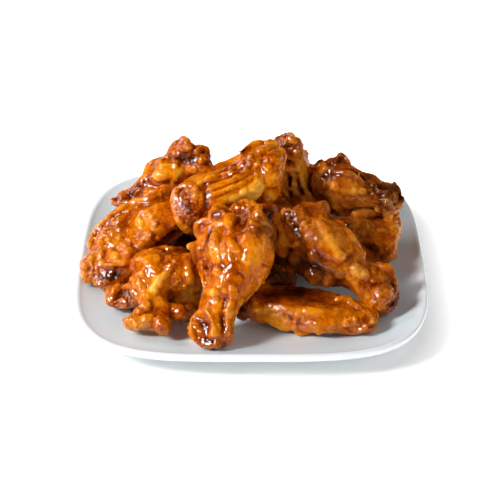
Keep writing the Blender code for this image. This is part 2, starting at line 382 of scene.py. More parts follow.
class Wing:
    """One wing: a fine copy of its solid, with its own directions."""

    def __init__(self, node):
        mesh = frame["nodes"][node].data.copy()
        body = bmesh.new()
        body.from_mesh(mesh)
        bmesh.ops.remove_doubles(body, verts=body.verts, dist=0.001 * MM)
        body.to_mesh(mesh)
        body.free()
        mesh.materials.clear()
        self.item = new_object("glazed_" + node, mesh)
        remesh(self.item, BODY_VOXEL, BODY_SMOOTHING)
        points = read_rows(self.item.data, "co")
        self.centre = Vector(points.mean(axis=0))
        along = Vector(np.linalg.eigh(np.cov((points - points.mean(axis=0)).T))[1][:, 2])
        inward = Vector((-self.centre.x, -self.centre.y, 0))
        self.along = along if along.dot(inward) > 0 else -along
        self.side = Vector((0, 0, 1)).cross(self.along).normalized()
        self.up = self.along.cross(self.side)
        reach = (points - np.array(self.centre)) @ np.array(self.along)
        self.start, self.end = reach.min(), reach.max()
        self.skin = BVHTree.FromPolygons([v.co for v in self.item.data.vertices],
                                         [p.vertices for p in self.item.data.polygons])
        self.balls = []
        self.strokes = []
        self.browned = 0.0

    def spot(self, along, angle, reach):
        """The place at a share of the length and an angle in degrees, so many mm away from the bone."""
        turn = math.radians(angle)
        outward = self.up * math.cos(turn) + self.side * math.sin(turn)
        bone = self.centre + self.along * (self.start + along * (self.end - self.start))
        return bone + outward * reach * MM

    def on_skin(self, along, angle, lift=0.0):
        """The place on the smooth skin at that share and angle, raised by lift mm."""
        bone, far = self.spot(along, angle, 0), self.spot(along, angle, FAR_OUT)
        hit = self.skin.ray_cast(far, bone - far)[0]
        return (hit or bone) + (far - bone).normalized() * lift * MM


print("wings in the frame:", len(frame["nodes"]) - 1)

# %% [markdown]
# ## Folds, knobs and creases
#
# Skin that shrinks in hot oil draws back in folds and curls, and the joints swell out as knobs. Parts
# that stand off the wing are limbs: strings of overlapping balls, which a remesh then melts into the
# skin. Moving points outwards could not make them, because a fold hangs over. Shallow forms need no new
# solid. They are strokes, which lift or sink the points near a line and may stain or roughen them.

# %% Note limbs and strokes
LIMB_STEPS, STROKE_STEPS = 7, 8
WANDER = 0.35 * MM       # how far a ball strays from its line
SWELL = 0.12             # how much its radius varies, as a share
Stroke = namedtuple("Stroke", "line width height lean stain rough crust", defaults=(0.0,) * 5)


def smooth_line(stops, steps):
    """Points on a Catmull-Rom curve through rows of numbers, with so many steps between two rows."""
    rows = np.array([2 * stops[0] - stops[1], *stops, 2 * stops[-1] - stops[-2]])
    line = []
    for before, first, second, after in zip(rows, rows[1:], rows[2:], rows[3:]):
        for t in np.linspace(0, 1, steps, endpoint=False):
            bend = 2 * before - 5 * first + 4 * second - after
            twist = 3 * first - before - 3 * second + after
            line.append(0.5 * (2 * first + (second - before) * t + bend * t * t + twist * t ** 3))
    return np.array(line + [rows[-2]])


def tube(wing, rows):
    """Notes balls along a line through (x, y, z, radius) rows, a little uneven as skin is."""
    rows = [np.array(row) for row in rows]
    line = smooth_line(rows, LIMB_STEPS) if len(rows) > 1 else np.array(rows)
    dice = np.random.default_rng(len(wing.balls))
    knots = np.arange(0, len(line) + 6, 3)
    for column, spread in enumerate([WANDER, WANDER, WANDER, SWELL * line[:, 3].mean()]):
        line[:, column] += np.interp(np.arange(len(line)), knots, dice.normal(0, spread, len(knots)))
    wing.balls.extend(line)


def limb(wing, *stops):
    """Notes a soft tube through (along, angle, reach, radius) stops, reach and radius in mm."""
    tube(wing, [[*wing.spot(*stop[:3]), stop[3] * MM] for stop in stops])


def knobs(wing, *stops):
    """Notes one single ball at each (along, angle, reach, radius) stop."""
    for stop in stops:
        limb(wing, stop)


def stroke(wing, stops, width, **marks):
    """Notes a stroke along (along, angle, reach) stops. Its width, height and lean are in mm."""
    rows = [np.array(wing.spot(*stop)) for stop in stops]
    line = smooth_line(rows, STROKE_STEPS) if len(rows) > 1 else np.array(rows)
    wing.strokes.append(Stroke(line, width, **marks))


print("a stroke can have:", Stroke._fields)

# %% [markdown]
# ## Melting the limbs in
#
# A small sphere goes to every noted place, as its own closed shell that sinks into the wing. Joining
# shells with exact cuts would be slow and leave sharp seams. The voxel remesh doesn't mind how many
# shells overlap: it keeps only the outside, and the smoothing fills the gaps where they meet.

# %% Melt the limbs into the skin
def melt_limbs(wing):
    """Puts a ball at every noted place and melts them all into one fine skin."""
    body = bmesh.new()
    bmesh.ops.create_icosphere(body, subdivisions=2, radius=1.0)
    ball = np.array([vertex.co[:] for vertex in body.verts])
    faces = np.array([[vertex.index for vertex in face.verts] for face in body.faces])
    body.free()
    mesh = wing.item.data
    points = [read_rows(mesh, "co")]
    polygons = [list(polygon.vertices) for polygon in mesh.polygons]
    for count, (x, y, z, radius) in enumerate(wing.balls):
        points.append(ball * radius + (x, y, z))
        polygons.extend((faces + len(points[0]) + count * len(ball)).tolist())
    wing.item.data = bpy.data.meshes.new(wing.item.name)
    wing.item.data.from_pydata(np.vstack(points).tolist(), [], polygons)
    bpy.data.meshes.remove(mesh)
    remesh(wing.item, SKIN_VOXEL, SKIN_SMOOTHING)


print("melting keeps one skin, smoothed", SKIN_SMOOTHING, "times")

# %% [markdown]
# ## Pressing the strokes
#
# A stroke works like a fingertip drawn over clay. The skin near its line rises or sinks along its own
# normal, most at the line and less with distance, and the stroke fades at both ends. Leaning it aside
# makes a fold that hangs over. Meat is soft, so where it would go through the plate it is pressed flat
# on it. At the same time three numbers are stored for the finish: how stained, how rough and how
# crusted each spot is. The stain also holds painted shade and painted light: some strokes darken skin
# that lies in the shade of the heap, and a few lighten skin that lies in shade.

# %% Find the top of the plate
SINK = 0.3 * MM   # how deep meat may press into the plate's surface, so that no gap shows


def plate_top(x, y):
    """Height of the plate's upper side at a place, and far below it outside of the plate."""
    spread = (np.abs(x) ** SQUARENESS + np.abs(y) ** SQUARENESS) ** (1 / SQUARENESS)
    upper = np.array(section[:section.index(max(section, key=lambda point: point[1])) + 1]) * MM
    return np.where(spread < upper[-1, 0], np.interp(spread, upper[:, 0], upper[:, 1]), -1.0)


print("plate's well in mm:", round(float(plate_top(np.zeros(1), np.zeros(1))[0]) / MM, 2))


# %% Press the strokes
FADED = 2.5             # widths from its line at which a stroke has faded to nothing
PLAIN_ROUGHNESS = 0.3   # how wrinkled skin is where no stroke says more
JOINT_START = 0.55      # from here on, as a share of the half length, the ends get more wrinkled


def weigh(mark, points):
    """The points near a stroke, the step of its line next to each, and how much it moves them."""
    line, width = mark.line, mark.width * MM
    taper = np.sin(np.linspace(0.12, 0.88, len(line)) * math.pi) ** 0.5 if len(line) > 1 else np.ones(1)
    low, high = line.min(axis=0) - FADED * width, line.max(axis=0) + FADED * width
    inside = np.flatnonzero(((points > low) & (points < high)).all(axis=1))
    gaps = ((points[inside, None, :] - line[None, :, :]) ** 2).sum(axis=2)
    nearest = gaps.argmin(axis=1)
    return inside, nearest, np.exp(-gaps.min(axis=1) / width ** 2) * taper[nearest]


def store(mesh, name, values):
    """Keeps one number for every vertex under a name that node trees can read."""
    layer = mesh.attributes.new(name, "FLOAT", "POINT")
    layer.data.foreach_set("value", np.asarray(values, dtype=np.float32))


def press_strokes(wing):
    """Moves the skin along every noted stroke, and stores what the finish needs to know."""
    mesh = wing.item.data
    points, normals = read_rows(mesh, "co"), read_rows(mesh, "normal")
    shift, stain = np.zeros_like(points), np.zeros(len(points))
    rough, crust = np.full(len(points), PLAIN_ROUGHNESS), np.full(len(points), wing.browned)
    for mark in wing.strokes:
        inside, nearest, weight = weigh(mark, points)
        shift[inside] += normals[inside] * (weight * mark.height * MM)[:, None]
        if mark.lean:
            ahead = np.gradient(mark.line, axis=0)[nearest]
            aside = np.cross(ahead / np.linalg.norm(ahead, axis=1)[:, None], normals[inside])
            shift[inside] += aside * (weight ** 2 * mark.lean * MM)[:, None]
        stain[inside] += weight * mark.stain
        rough[inside] += weight * mark.rough
        crust[inside] += weight * mark.crust
    moved = points + shift
    moved[:, 2] = np.maximum(moved[:, 2], plate_top(moved[:, 0], moved[:, 1]) - SINK)
    mesh.vertices.foreach_set("co", moved.ravel())
    reach = ((moved - np.array(wing.centre)) @ np.array(wing.along) - wing.start) / (wing.end - wing.start)
    joints = np.clip(np.abs(reach - 0.5) * 2 - JOINT_START, 0, 1)
    # the stain holds glaze stains, painted shade and painted light
    store(mesh, "stain", np.clip(stain, -1, 1))
    store(mesh, "rough", np.clip(rough + joints, 0, 1.5))
    store(mesh, "crust", np.clip(crust, 0, 1))
    mesh.update()


print("stored for the finish: stain, rough, crust")

# %% [markdown]
# ## Skin relief
#
# No two patches of fried skin are alike, yet they follow one rule: soft lumps of meat below, wrinkles
# that run with the bone, and small blisters where fat boiled out. Three noises at three sizes do that,
# along the normal of the surface. Bump in the material would be cheaper, but it leaves the outline
# smooth, so the relief is real. All noises read one set of coordinates, drawn out along the bone and
# shifted by the seed of the wing.

# %% Draw the noise out along the bone
GRAIN_STRETCH = 0.25   # how much longer wrinkles are along the bone than across it


def along_the_grain(tree, start, place):
    """The coordinates that every noise of the skin reads."""
    reach = add_node(tree, "ShaderNodeVectorMath", {0: place, 1: start["Along"]}, operation="DOT_PRODUCT")
    squeeze = add_node(tree, "ShaderNodeVectorMath", {0: start["Along"]}, operation="SCALE")
    fill(tree, squeeze, {"Scale": calc(tree, "MULTIPLY", reach.outputs["Value"], -GRAIN_STRETCH)})
    offset = add_node(tree, "ShaderNodeCombineXYZ", {0: start["Seed"],
                                                     1: calc(tree, "MULTIPLY", start["Seed"], 1.7)})
    return vector(tree, "ADD", vector(tree, "ADD", place, squeeze.outputs[0]), offset.outputs[0])


print("grain stretch:", GRAIN_STRETCH)


# %% Add up lumps, wrinkles and blisters
def skin_height(tree, start, grain, rough):
    """How many mm the skin stands above the smooth wing. Each noise is first stretched about zero."""

    def noise_of(size, detail, distortion):
        scale = calc(tree, "DIVIDE", 1.0 / MM, size)
        return add_node(tree, "ShaderNodeTexNoise", {"Vector": grain, "Scale": scale, "Detail": detail,
                                                     "Distortion": distortion}).outputs["Fac"]

    lump = calc(tree, "MULTIPLY", calc(tree, "SUBTRACT", noise_of(start["Lump Size"], 1.5, 0.6), 0.5), 2.4)
    fold = calc(tree, "ABSOLUTE", calc(tree, "SUBTRACT", noise_of(start["Wrinkle Size"], 2.0, 1.2), 0.5))
    crease = calc(tree, "SUBTRACT", calc(tree, "MULTIPLY", fold, 5.0), 0.5)
    wrinkle = calc(tree, "MULTIPLY", calc(tree, "MINIMUM", crease, 0.6), rough)
    cells = add_node(tree, "ShaderNodeTexVoronoi",
                     {"Vector": grain, "Scale": calc(tree, "DIVIDE", 1.0 / MM, start["Blister Size"]),
                      "Smoothness": 0.4}, feature="SMOOTH_F1")
    dome = calc(tree, "MULTIPLY", calc(tree, "SUBTRACT", 0.5, cells.outputs["Distance"]), 2.0)
    blister = calc(tree, "MULTIPLY", dome, rough)
    height = calc(tree, "MULTIPLY", lump, start["Lump Height"])
    height = calc(tree, "ADD", height, calc(tree, "MULTIPLY", wrinkle, start["Wrinkle Height"]))
    return calc(tree, "ADD", height, calc(tree, "MULTIPLY", blister, start["Blister Height"]))


print("the relief adds up lumps, wrinkles and blisters")

# %% [markdown]
# ## Finding the hollows
#
# Glaze runs into hollows and leaves the ridges bare, so the finish has to know where the hollows are.
# The tree compares each point with the average of its neighbours: where the average lies outside, the
# point is in a hollow. A few rounds of averaging find creases, and many rounds find wide dips. Both
# numbers are stored on the skin, where the material can read them.

# %% Build the relief tree
HOLLOWS = {"hollow_fine": 5, "hollow_wide": 45}   # rounds of averaging


def store_hollow(tree, skin, name, rounds, place, normal):
    """Keeps on the skin how many mm each point lies below the average round it."""
    blur = add_node(tree, "GeometryNodeBlurAttribute", {"Iterations": rounds}, data_type="FLOAT_VECTOR")
    tree.links.new(place, next(socket for socket in blur.inputs if socket.name == "Value" and socket.enabled))
    average = next(socket for socket in blur.outputs if socket.enabled)
    depth = add_node(tree, "ShaderNodeVectorMath", {0: vector(tree, "SUBTRACT", average, place), 1: normal},
                     operation="DOT_PRODUCT")
    keep = add_node(tree, "GeometryNodeStoreNamedAttribute", {"Geometry": skin, "Name": name},
                    data_type="FLOAT", domain="POINT")
    fill(tree, keep, {"Value": calc(tree, "DIVIDE", depth.outputs["Value"], MM)})
    return keep.outputs[0]


def relief_tree(material):
    sizes = {"Along": (1.0, 0.0, 0.0), "Seed": 0.0, "Lump Height": 1.3, "Lump Size": 13.0,
             "Wrinkle Height": 0.7, "Wrinkle Size": 5.0, "Blister Height": 0.38, "Blister Size": 3.2}
    tree = new_tree("fried_skin", sizes)
    start = add_node(tree, "NodeGroupInput").outputs
    place = add_node(tree, "GeometryNodeInputPosition").outputs[0]
    normal = add_node(tree, "GeometryNodeInputNormal").outputs[0]
    rough = add_node(tree, "GeometryNodeInputNamedAttribute", {"Name": "rough"}, data_type="FLOAT").outputs[0]
    height = skin_height(tree, start, along_the_grain(tree, start, place), rough)
    lift = add_node(tree, "ShaderNodeVectorMath", {0: normal}, operation="SCALE")
    fill(tree, lift, {"Scale": calc(tree, "MULTIPLY", height, MM)})
    skin = add_node(tree, "GeometryNodeSetPosition", {"Geometry": start["Geometry"],
                                                      "Offset": lift.outputs[0]}).outputs[0]
    for name, rounds in HOLLOWS.items():
        skin = store_hollow(tree, skin, name, rounds, place, normal)
    return finish_tree(tree, skin, material)


print("hollows that are stored:", list(HOLLOWS))

# %% [markdown]
# ## Sticky glaze
#
# The colour of a fried, glazed wing is one scale from nearly black, over deep red brown and orange, to
# pale gold. Where on the scale a spot lies depends on how thick the glaze is and how far the skin under
# it browned: hollows are dark and red, domes and ridges are light. Painting that by hand would take a
# day for each wing. Instead one number, the tone, is added up from the hollows and stains that the skin
# keeps and from noise at three sizes, and the same recipe dresses every wing.

# %% Add up the tone
LIGHTNESS = 0.55   # the tone of plain skin, from 0, nearly black, to 1, pale gold


class GlazeRecipe:
    """The tree of the glaze, with the few things that its sums are made of."""

    def __init__(self, tree):
        self.tree = tree
        self.place = add_node(tree, "ShaderNodeTexCoord").outputs["Object"]

    def noise(self, size, detail=2.0, distortion=0.0):
        """Noise from -1 to 1 whose patches are about so many mm wide."""
        made = add_node(self.tree, "ShaderNodeTexNoise", {"Vector": self.place, "Scale": 1.0 / (size * MM),
                                                          "Detail": detail, "Distortion": distortion})
        return calc(self.tree, "MULTIPLY_ADD", made.outputs["Fac"], 2.0, -1.0)

    def kept(self, name):
        """A number that the skin keeps for each of its points."""
        return add_node(self.tree, "ShaderNodeAttribute", attribute_name=name).outputs["Fac"]

    def total(self, start, *parts):
        """The start plus every part, each a value and its share."""
        for value, share in parts:
            start = calc(self.tree, "MULTIPLY_ADD", value, share, start)
        return start


def tone_of(glaze_recipe):
    """Where on the scale from dark to light a spot lies."""
    noise, kept, total = glaze_recipe.noise, glaze_recipe.kept, glaze_recipe.total
    tree = glaze_recipe.tree
    specks = calc(tree, "MULTIPLY", noise(1.6, 4.0), total(0.3, (kept("rough"), 0.7)))
    return total(LIGHTNESS, (noise(20.0, 2.0, 0.5), 0.40), (noise(7.0, 3.0, 1.0), 0.24), (specks, 0.36),
                 (kept("hollow_fine"), -0.16), (calc(tree, "ABSOLUTE", kept("hollow_fine")), -0.12),
                 (kept("hollow_wide"), -0.16), (kept("stain"), -0.5), (kept("crust"), -0.2))


print("tone of plain skin:", LIGHTNESS)

# %% [markdown]
# ## Two scales of colour
#
# A colour ramp turns the tone into colour. There are two of them: a clear one for glazed skin, whose
# dark end is a deep red because light passes through the sugar, and a duller brown one for dry crust
# where the glaze ran off. Crust comes in patches with soft edges, so a noise decides the border.

# %% Turn the tone into colour
GLAZED_COLOURS = [(0.0, (0.040, 0.005, 0.0005)), (0.2, (0.14, 0.016, 0.0005)),
                  (0.4, (0.34, 0.050, 0.0005)), (0.6, (0.60, 0.135, 0.001)),
                  (0.8, (0.80, 0.27, 0.006)), (1.0, (0.92, 0.48, 0.06))]
CRUSTED_COLOURS = [(0.0, (0.028, 0.009, 0.003)), (0.25, (0.12, 0.034, 0.005)), (0.5, (0.29, 0.10, 0.014)),
                   (0.75, (0.54, 0.25, 0.04)), (1.0, (0.76, 0.45, 0.14))]
CLEAR_SIDE, CRUST_SIDE, MIXED = 6, 7, 2   # the colour sockets of a Mix node


def ramp_of(tree, tone, stops):
    """A colour ramp over the tone, from its list of (spot, colour)."""
    scale = add_node(tree, "ShaderNodeValToRGB", {"Fac": tone})
    for spot, _ in stops[1:-1]:
        scale.color_ramp.elements.new(spot)
    for element, (spot, colour) in zip(scale.color_ramp.elements, stops):
        element.position = spot
        element.color = (*colour, 1)
    return scale.outputs["Color"]


def colour_of(glaze_recipe):
    """Clear glaze, mixed with dry crust in patches."""
    tree, tone = glaze_recipe.tree, tone_of(glaze_recipe)
    glazed, crusted = ramp_of(tree, tone, GLAZED_COLOURS), ramp_of(tree, tone, CRUSTED_COLOURS)
    patches = glaze_recipe.total(glaze_recipe.kept("crust"), (glaze_recipe.noise(9.0, 2.0, 0.5), 0.7))
    mixed = add_node(tree, "ShaderNodeMix", {"Factor": patches, CLEAR_SIDE: glazed, CRUST_SIDE: crusted},
                     data_type="RGBA", clamp_factor=True)
    return mixed.outputs[MIXED]


print("colours from dark to light:", len(GLAZED_COLOURS), "glazed and", len(CRUSTED_COLOURS), "crusted")

# %% [markdown]
# ## Wet sugar on top
#
# The small sharp lights of a glazed wing come from the sugar, not from the skin. So the skin itself is
# dull and lets a little light in, and a clear coat over it makes the lights. The coat is thick on
# wrinkled and stained skin and thin on crust, and little drops in it bend the lights. The drops are
# finer than the mesh and don't change the outline, which makes them the one thing left to bump.

# %% Make the glaze
def wetness_of(glaze_recipe):
    """How much clear sugar covers a spot."""
    noise, kept, total = glaze_recipe.noise, glaze_recipe.kept, glaze_recipe.total
    wetness = total(0.35, (kept("rough"), 0.7), (kept("stain"), 0.6), (kept("crust"), -0.6),
                    (noise(7.0, 1.0), 0.6))
    return add_node(glaze_recipe.tree, "ShaderNodeClamp", {"Value": wetness}).outputs[0]


def drops_of(glaze_recipe):
    """The normal of a coat with little drops in it."""
    size = glaze_recipe.total(0.35, (glaze_recipe.kept("rough"), 0.6))
    drops = calc(glaze_recipe.tree, "MULTIPLY", glaze_recipe.noise(2.6, 0.0), size)
    bump = add_node(glaze_recipe.tree, "ShaderNodeBump", {"Height": drops, "Strength": 0.6,
                                                          "Distance": 0.5 * MM})
    return bump.outputs["Normal"]


def make_glaze():
    material, tree, shader = new_material("glaze")
    glaze_recipe = GlazeRecipe(tree)
    drops = drops_of(glaze_recipe)
    fill(tree, shader, {"Base Color": colour_of(glaze_recipe), "Normal": drops, "Coat Normal": drops,
                        "Roughness": glaze_recipe.total(0.38, (glaze_recipe.noise(3.0, 2.0), 0.16)),
                        "Coat Weight": wetness_of(glaze_recipe)})
    fill(tree, shader, {"Specular IOR Level": 0.0, "Coat Roughness": 0.05, "Coat IOR": 1.5,
                        "Subsurface Weight": 0.06, "Subsurface Radius": (1.0, 0.35, 0.12),
                        "Subsurface Scale": 2.0 * MM})
    return material


glaze = make_glaze()
fried_skin = relief_tree(glaze)
print("material:", glaze.name, "and relief tree:", fried_skin.name)

# %% [markdown]
# ## Folds that nobody planned
#
# Most folds, lumps and dents on a wing follow no plan. A generator of random numbers with a fixed seed
# sets them out, so they fall in the same places every time. Most folds run with the bone, and the ends
# get more knobs, because that is where skin and joint shrink together. A wing in sight gets them only
# underneath, and one that lies deep in the heap gets them all round.

# %% Scatter folds and lumps over a wing
FOLD_STEP, FOLD_TURN = 0.07, 26   # how far a fold goes in one step: share of the length, degrees
UNDERNEATH, ALL_ROUND = (110, 250), (0, 360)


def scatter_folds(wing, seed, folds=14, lumps=4, dents=8, sides=UNDERNEATH):
    """Notes random folds, lumps and dents, within a range of angles round the bone."""
    dice = np.random.default_rng(seed)
    for _ in range(folds):
        along, angle = dice.uniform(0.06, 0.94), dice.uniform(*sides)
        radius = dice.uniform(1.3, 2.8)
        heading = dice.normal(0, 0.7)
        rows = []
        for _ in range(dice.integers(3, 6)):
            sunk = dice.uniform(-0.6, 0.0) * radius
            rows.append([*wing.on_skin(along, angle, sunk), radius * dice.uniform(0.7, 1.15) * MM])
            along = min(0.97, max(0.03, along + FOLD_STEP * math.cos(heading)))
            angle += FOLD_TURN * math.sin(heading)
            heading += dice.normal(0, 0.5)
        tube(wing, rows)
    for _ in range(lumps):
        along = dice.choice([dice.uniform(0.03, 0.25), dice.uniform(0.1, 0.95), dice.uniform(0.75, 0.97)])
        radius = dice.uniform(2.2, 4.2)
        tube(wing, [[*wing.on_skin(along, dice.uniform(*sides), -0.45 * radius), radius * MM]])
    for _ in range(dents):
        along, angle, turn = dice.uniform(0.05, 0.85), dice.uniform(*sides), dice.normal(0, 20)
        line = [np.array(wing.on_skin(along + FOLD_STEP * step, angle + turn * step)) for step in range(3)]
        width = dice.uniform(1.0, 2.6)
        lean, stain = dice.uniform(-1, 1), dice.uniform(0, 0.3)
        wing.strokes.append(Stroke(smooth_line(line, STROKE_STEPS), width, -0.55 * width, lean, stain))


print("a fold goes on by", FOLD_STEP, "of the length, or turns by up to", FOLD_TURN, "degrees")

# %% [markdown]
# ## The wings that lie in front
#
# Each wing in sight has folds of its own. They are noted wing by wing, as limbs and strokes on the
# smooth body, and nothing is melted before all of them are known. A stop in a limb says how far along
# the bone it is, its angle, how many mm from the bone, and how thick. Limbs build up what stands off,
# so they come first. Strokes then press, stain, roughen and brown.

# %% Keep the notes for each wing
SHAPES = {}


def note_shape(node, shape):
    """Keeps a function for when the wing is made, and prints how large the solid under it is."""
    SHAPES.setdefault(node, []).append(shape)
    low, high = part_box(node)
    print(shape.__name__, "on a solid of", [round(side / MM) for side in high - low], "mm")


print("wings with notes so far:", len(SHAPES))

# %% [markdown]
# ## The front drumette
#
# This drumette lies on top of the heap in the middle, with its knuckle towards the viewer. Its skin has
# rolled back from the meat: a thick roll runs down the left side and curls over at the top, and round the
# knuckle the skin has shrunk into a rim about the hollow end of the bone. Rolls that stand several mm off
# the meat can't be pushed out of it, so they are limbs. The pool of glaze in the hollow and the red and
# dry streaks need no height of their own, and are strokes.

# %% Folds of the front drumette
def fold_front_drumette(wing):
    """Notes what stands off it."""
    # skin rolled back along the left side of the meat
    limb(wing, (0.784, 80, 22.3, 2.2), (0.783, 86, 27.2, 2.9), (0.745, 91, 29.7, 3.2),
         (0.695, 96, 29.6, 3.0), (0.662, 82, 22.0, 2.9), (0.641, 94, 26.1, 2.9), (0.607, 91, 30.4, 2.3))
    # loose edge of skin that runs down from the roll
    limb(wing, (0.593, 96, 22.6, 4.6), (0.541, 103, 20.8, 4.6), (0.446, 72, 13.5, 4.4),
         (0.375, 59, 10.2, 4.1))
    limb(wing, (0.601, 93, 28.3, 2.1), (0.556, 99, 27.3, 2.1), (0.508, 104, 23.0, 2.0),
         (0.410, 69, 15.5, 2.1), (0.344, 64, 12.5, 1.7))
    limb(wing, (0.583, 86, 20.6, 2.0), (0.533, 93, 17.0, 1.8), (0.441, 77, 14.0, 2.0),
         (0.322, 66, 11.3, 2.1), (0.248, 72, 11.1, 2.1), (0.186, 55, 11.1, 2.4))
    # rim of skin pulled back round the knuckle
    limb(wing, (0.185, 49, 10.9, 2.4), (0.155, 72, 13.7, 2.4), (0.095, 63, 14.0, 2.8),
         (0.045, 60, 11.1, 3.0), (0.015, 48, 5.8, 3.5), (0.009, -18, 4.1, 3.8), (0.017, -59, 7.7, 3.8))
    limb(wing, (0.191, 25, 10.3, 2.2), (0.165, 2, 10.1, 2.1), (0.118, -12, 10.5, 2.2),
         (0.071, -22, 10.9, 2.5))
    # the gristle beside the hollow
    limb(wing, (0.134, 18, 9.6, 1.4), (0.093, 4, 9.5, 1.4), (0.061, -7, 8.9, 1.5))
    # sinew that stands out on the right of the shank
    limb(wing, (0.382, -36, 13.4, 3.0), (0.323, -41, 12.3, 3.4), (0.275, -44, 11.4, 3.4),
         (0.220, -46, 10.2, 3.4), (0.160, -52, 10.4, 3.4), (0.101, -59, 12.2, 3.2))
    # outer fold down the right side
    limb(wing, (0.339, -76, 12.3, 2.5), (0.268, -71, 11.0, 2.5), (0.209, -80, 9.8, 2.5),
         (0.129, -75, 11.5, 2.5))
    # cuff of skin above the bare knuckle
    limb(wing, (0.327, 61, 10.8, 2.5), (0.305, 15, 11.6, 3.1), (0.313, -9, 12.0, 3.0),
         (0.343, -27, 12.8, 2.8))
    # curl on the top edge
    limb(wing, (0.784, 80, 21.9, 2.4), (0.834, 79, 23.2, 2.6), (0.860, 71, 20.3, 2.6),
         (0.849, 67, 16.1, 2.6), (0.802, 52, 14.2, 2.4), (0.755, 49, 16.9, 2.1))
    # smooth tongue of skin beside it
    limb(wing, (0.818, 51, 11.0, 4.4), (0.762, 28, 11.5, 4.8), (0.705, 11, 13.8, 4.4))
    # glaze that pooled on the top
    limb(wing, (0.902, 90, 10.5, 4.6), (0.915, 79, 5.2, 4.8), (0.903, -5, 4.0, 4.4))
    # lobe that runs down from the tongue
    limb(wing, (0.650, 14, 15.4, 3.2), (0.611, -4, 17.1, 3.8), (0.581, -20, 18.6, 3.2))
    # smooth left face
    limb(wing, (0.660, 50, 16.6, 4.6), (0.600, 43, 13.6, 5.7), (0.524, 24, 12.8, 6.1),
         (0.457, 15, 11.8, 5.2))
    limb(wing, (0.515, 68, 12.1, 4.0), (0.455, 51, 10.9, 4.0))
    # smooth bulge of meat on the right
    limb(wing, (0.674, -34, 18.3, 6.3), (0.620, -41, 17.6, 6.5), (0.550, -43, 16.6, 5.7))
    # small lobe on the top right
    limb(wing, (0.833, -36, 19.8, 3.5), (0.893, -42, 14.9, 3.5))
    # dry streaks on the shaded side
    limb(wing, (0.767, -30, 22.0, 1.6), (0.757, -43, 23.8, 1.6), (0.742, -59, 24.1, 1.6))
    limb(wing, (0.794, -35, 22.4, 1.5), (0.787, -51, 24.0, 1.5), (0.786, -75, 22.9, 1.5))
    limb(wing, (0.717, -50, 23.9, 1.5), (0.708, -66, 23.2, 1.5), (0.713, -100, 22.0, 1.4))


note_shape("front_drumette", fold_front_drumette)


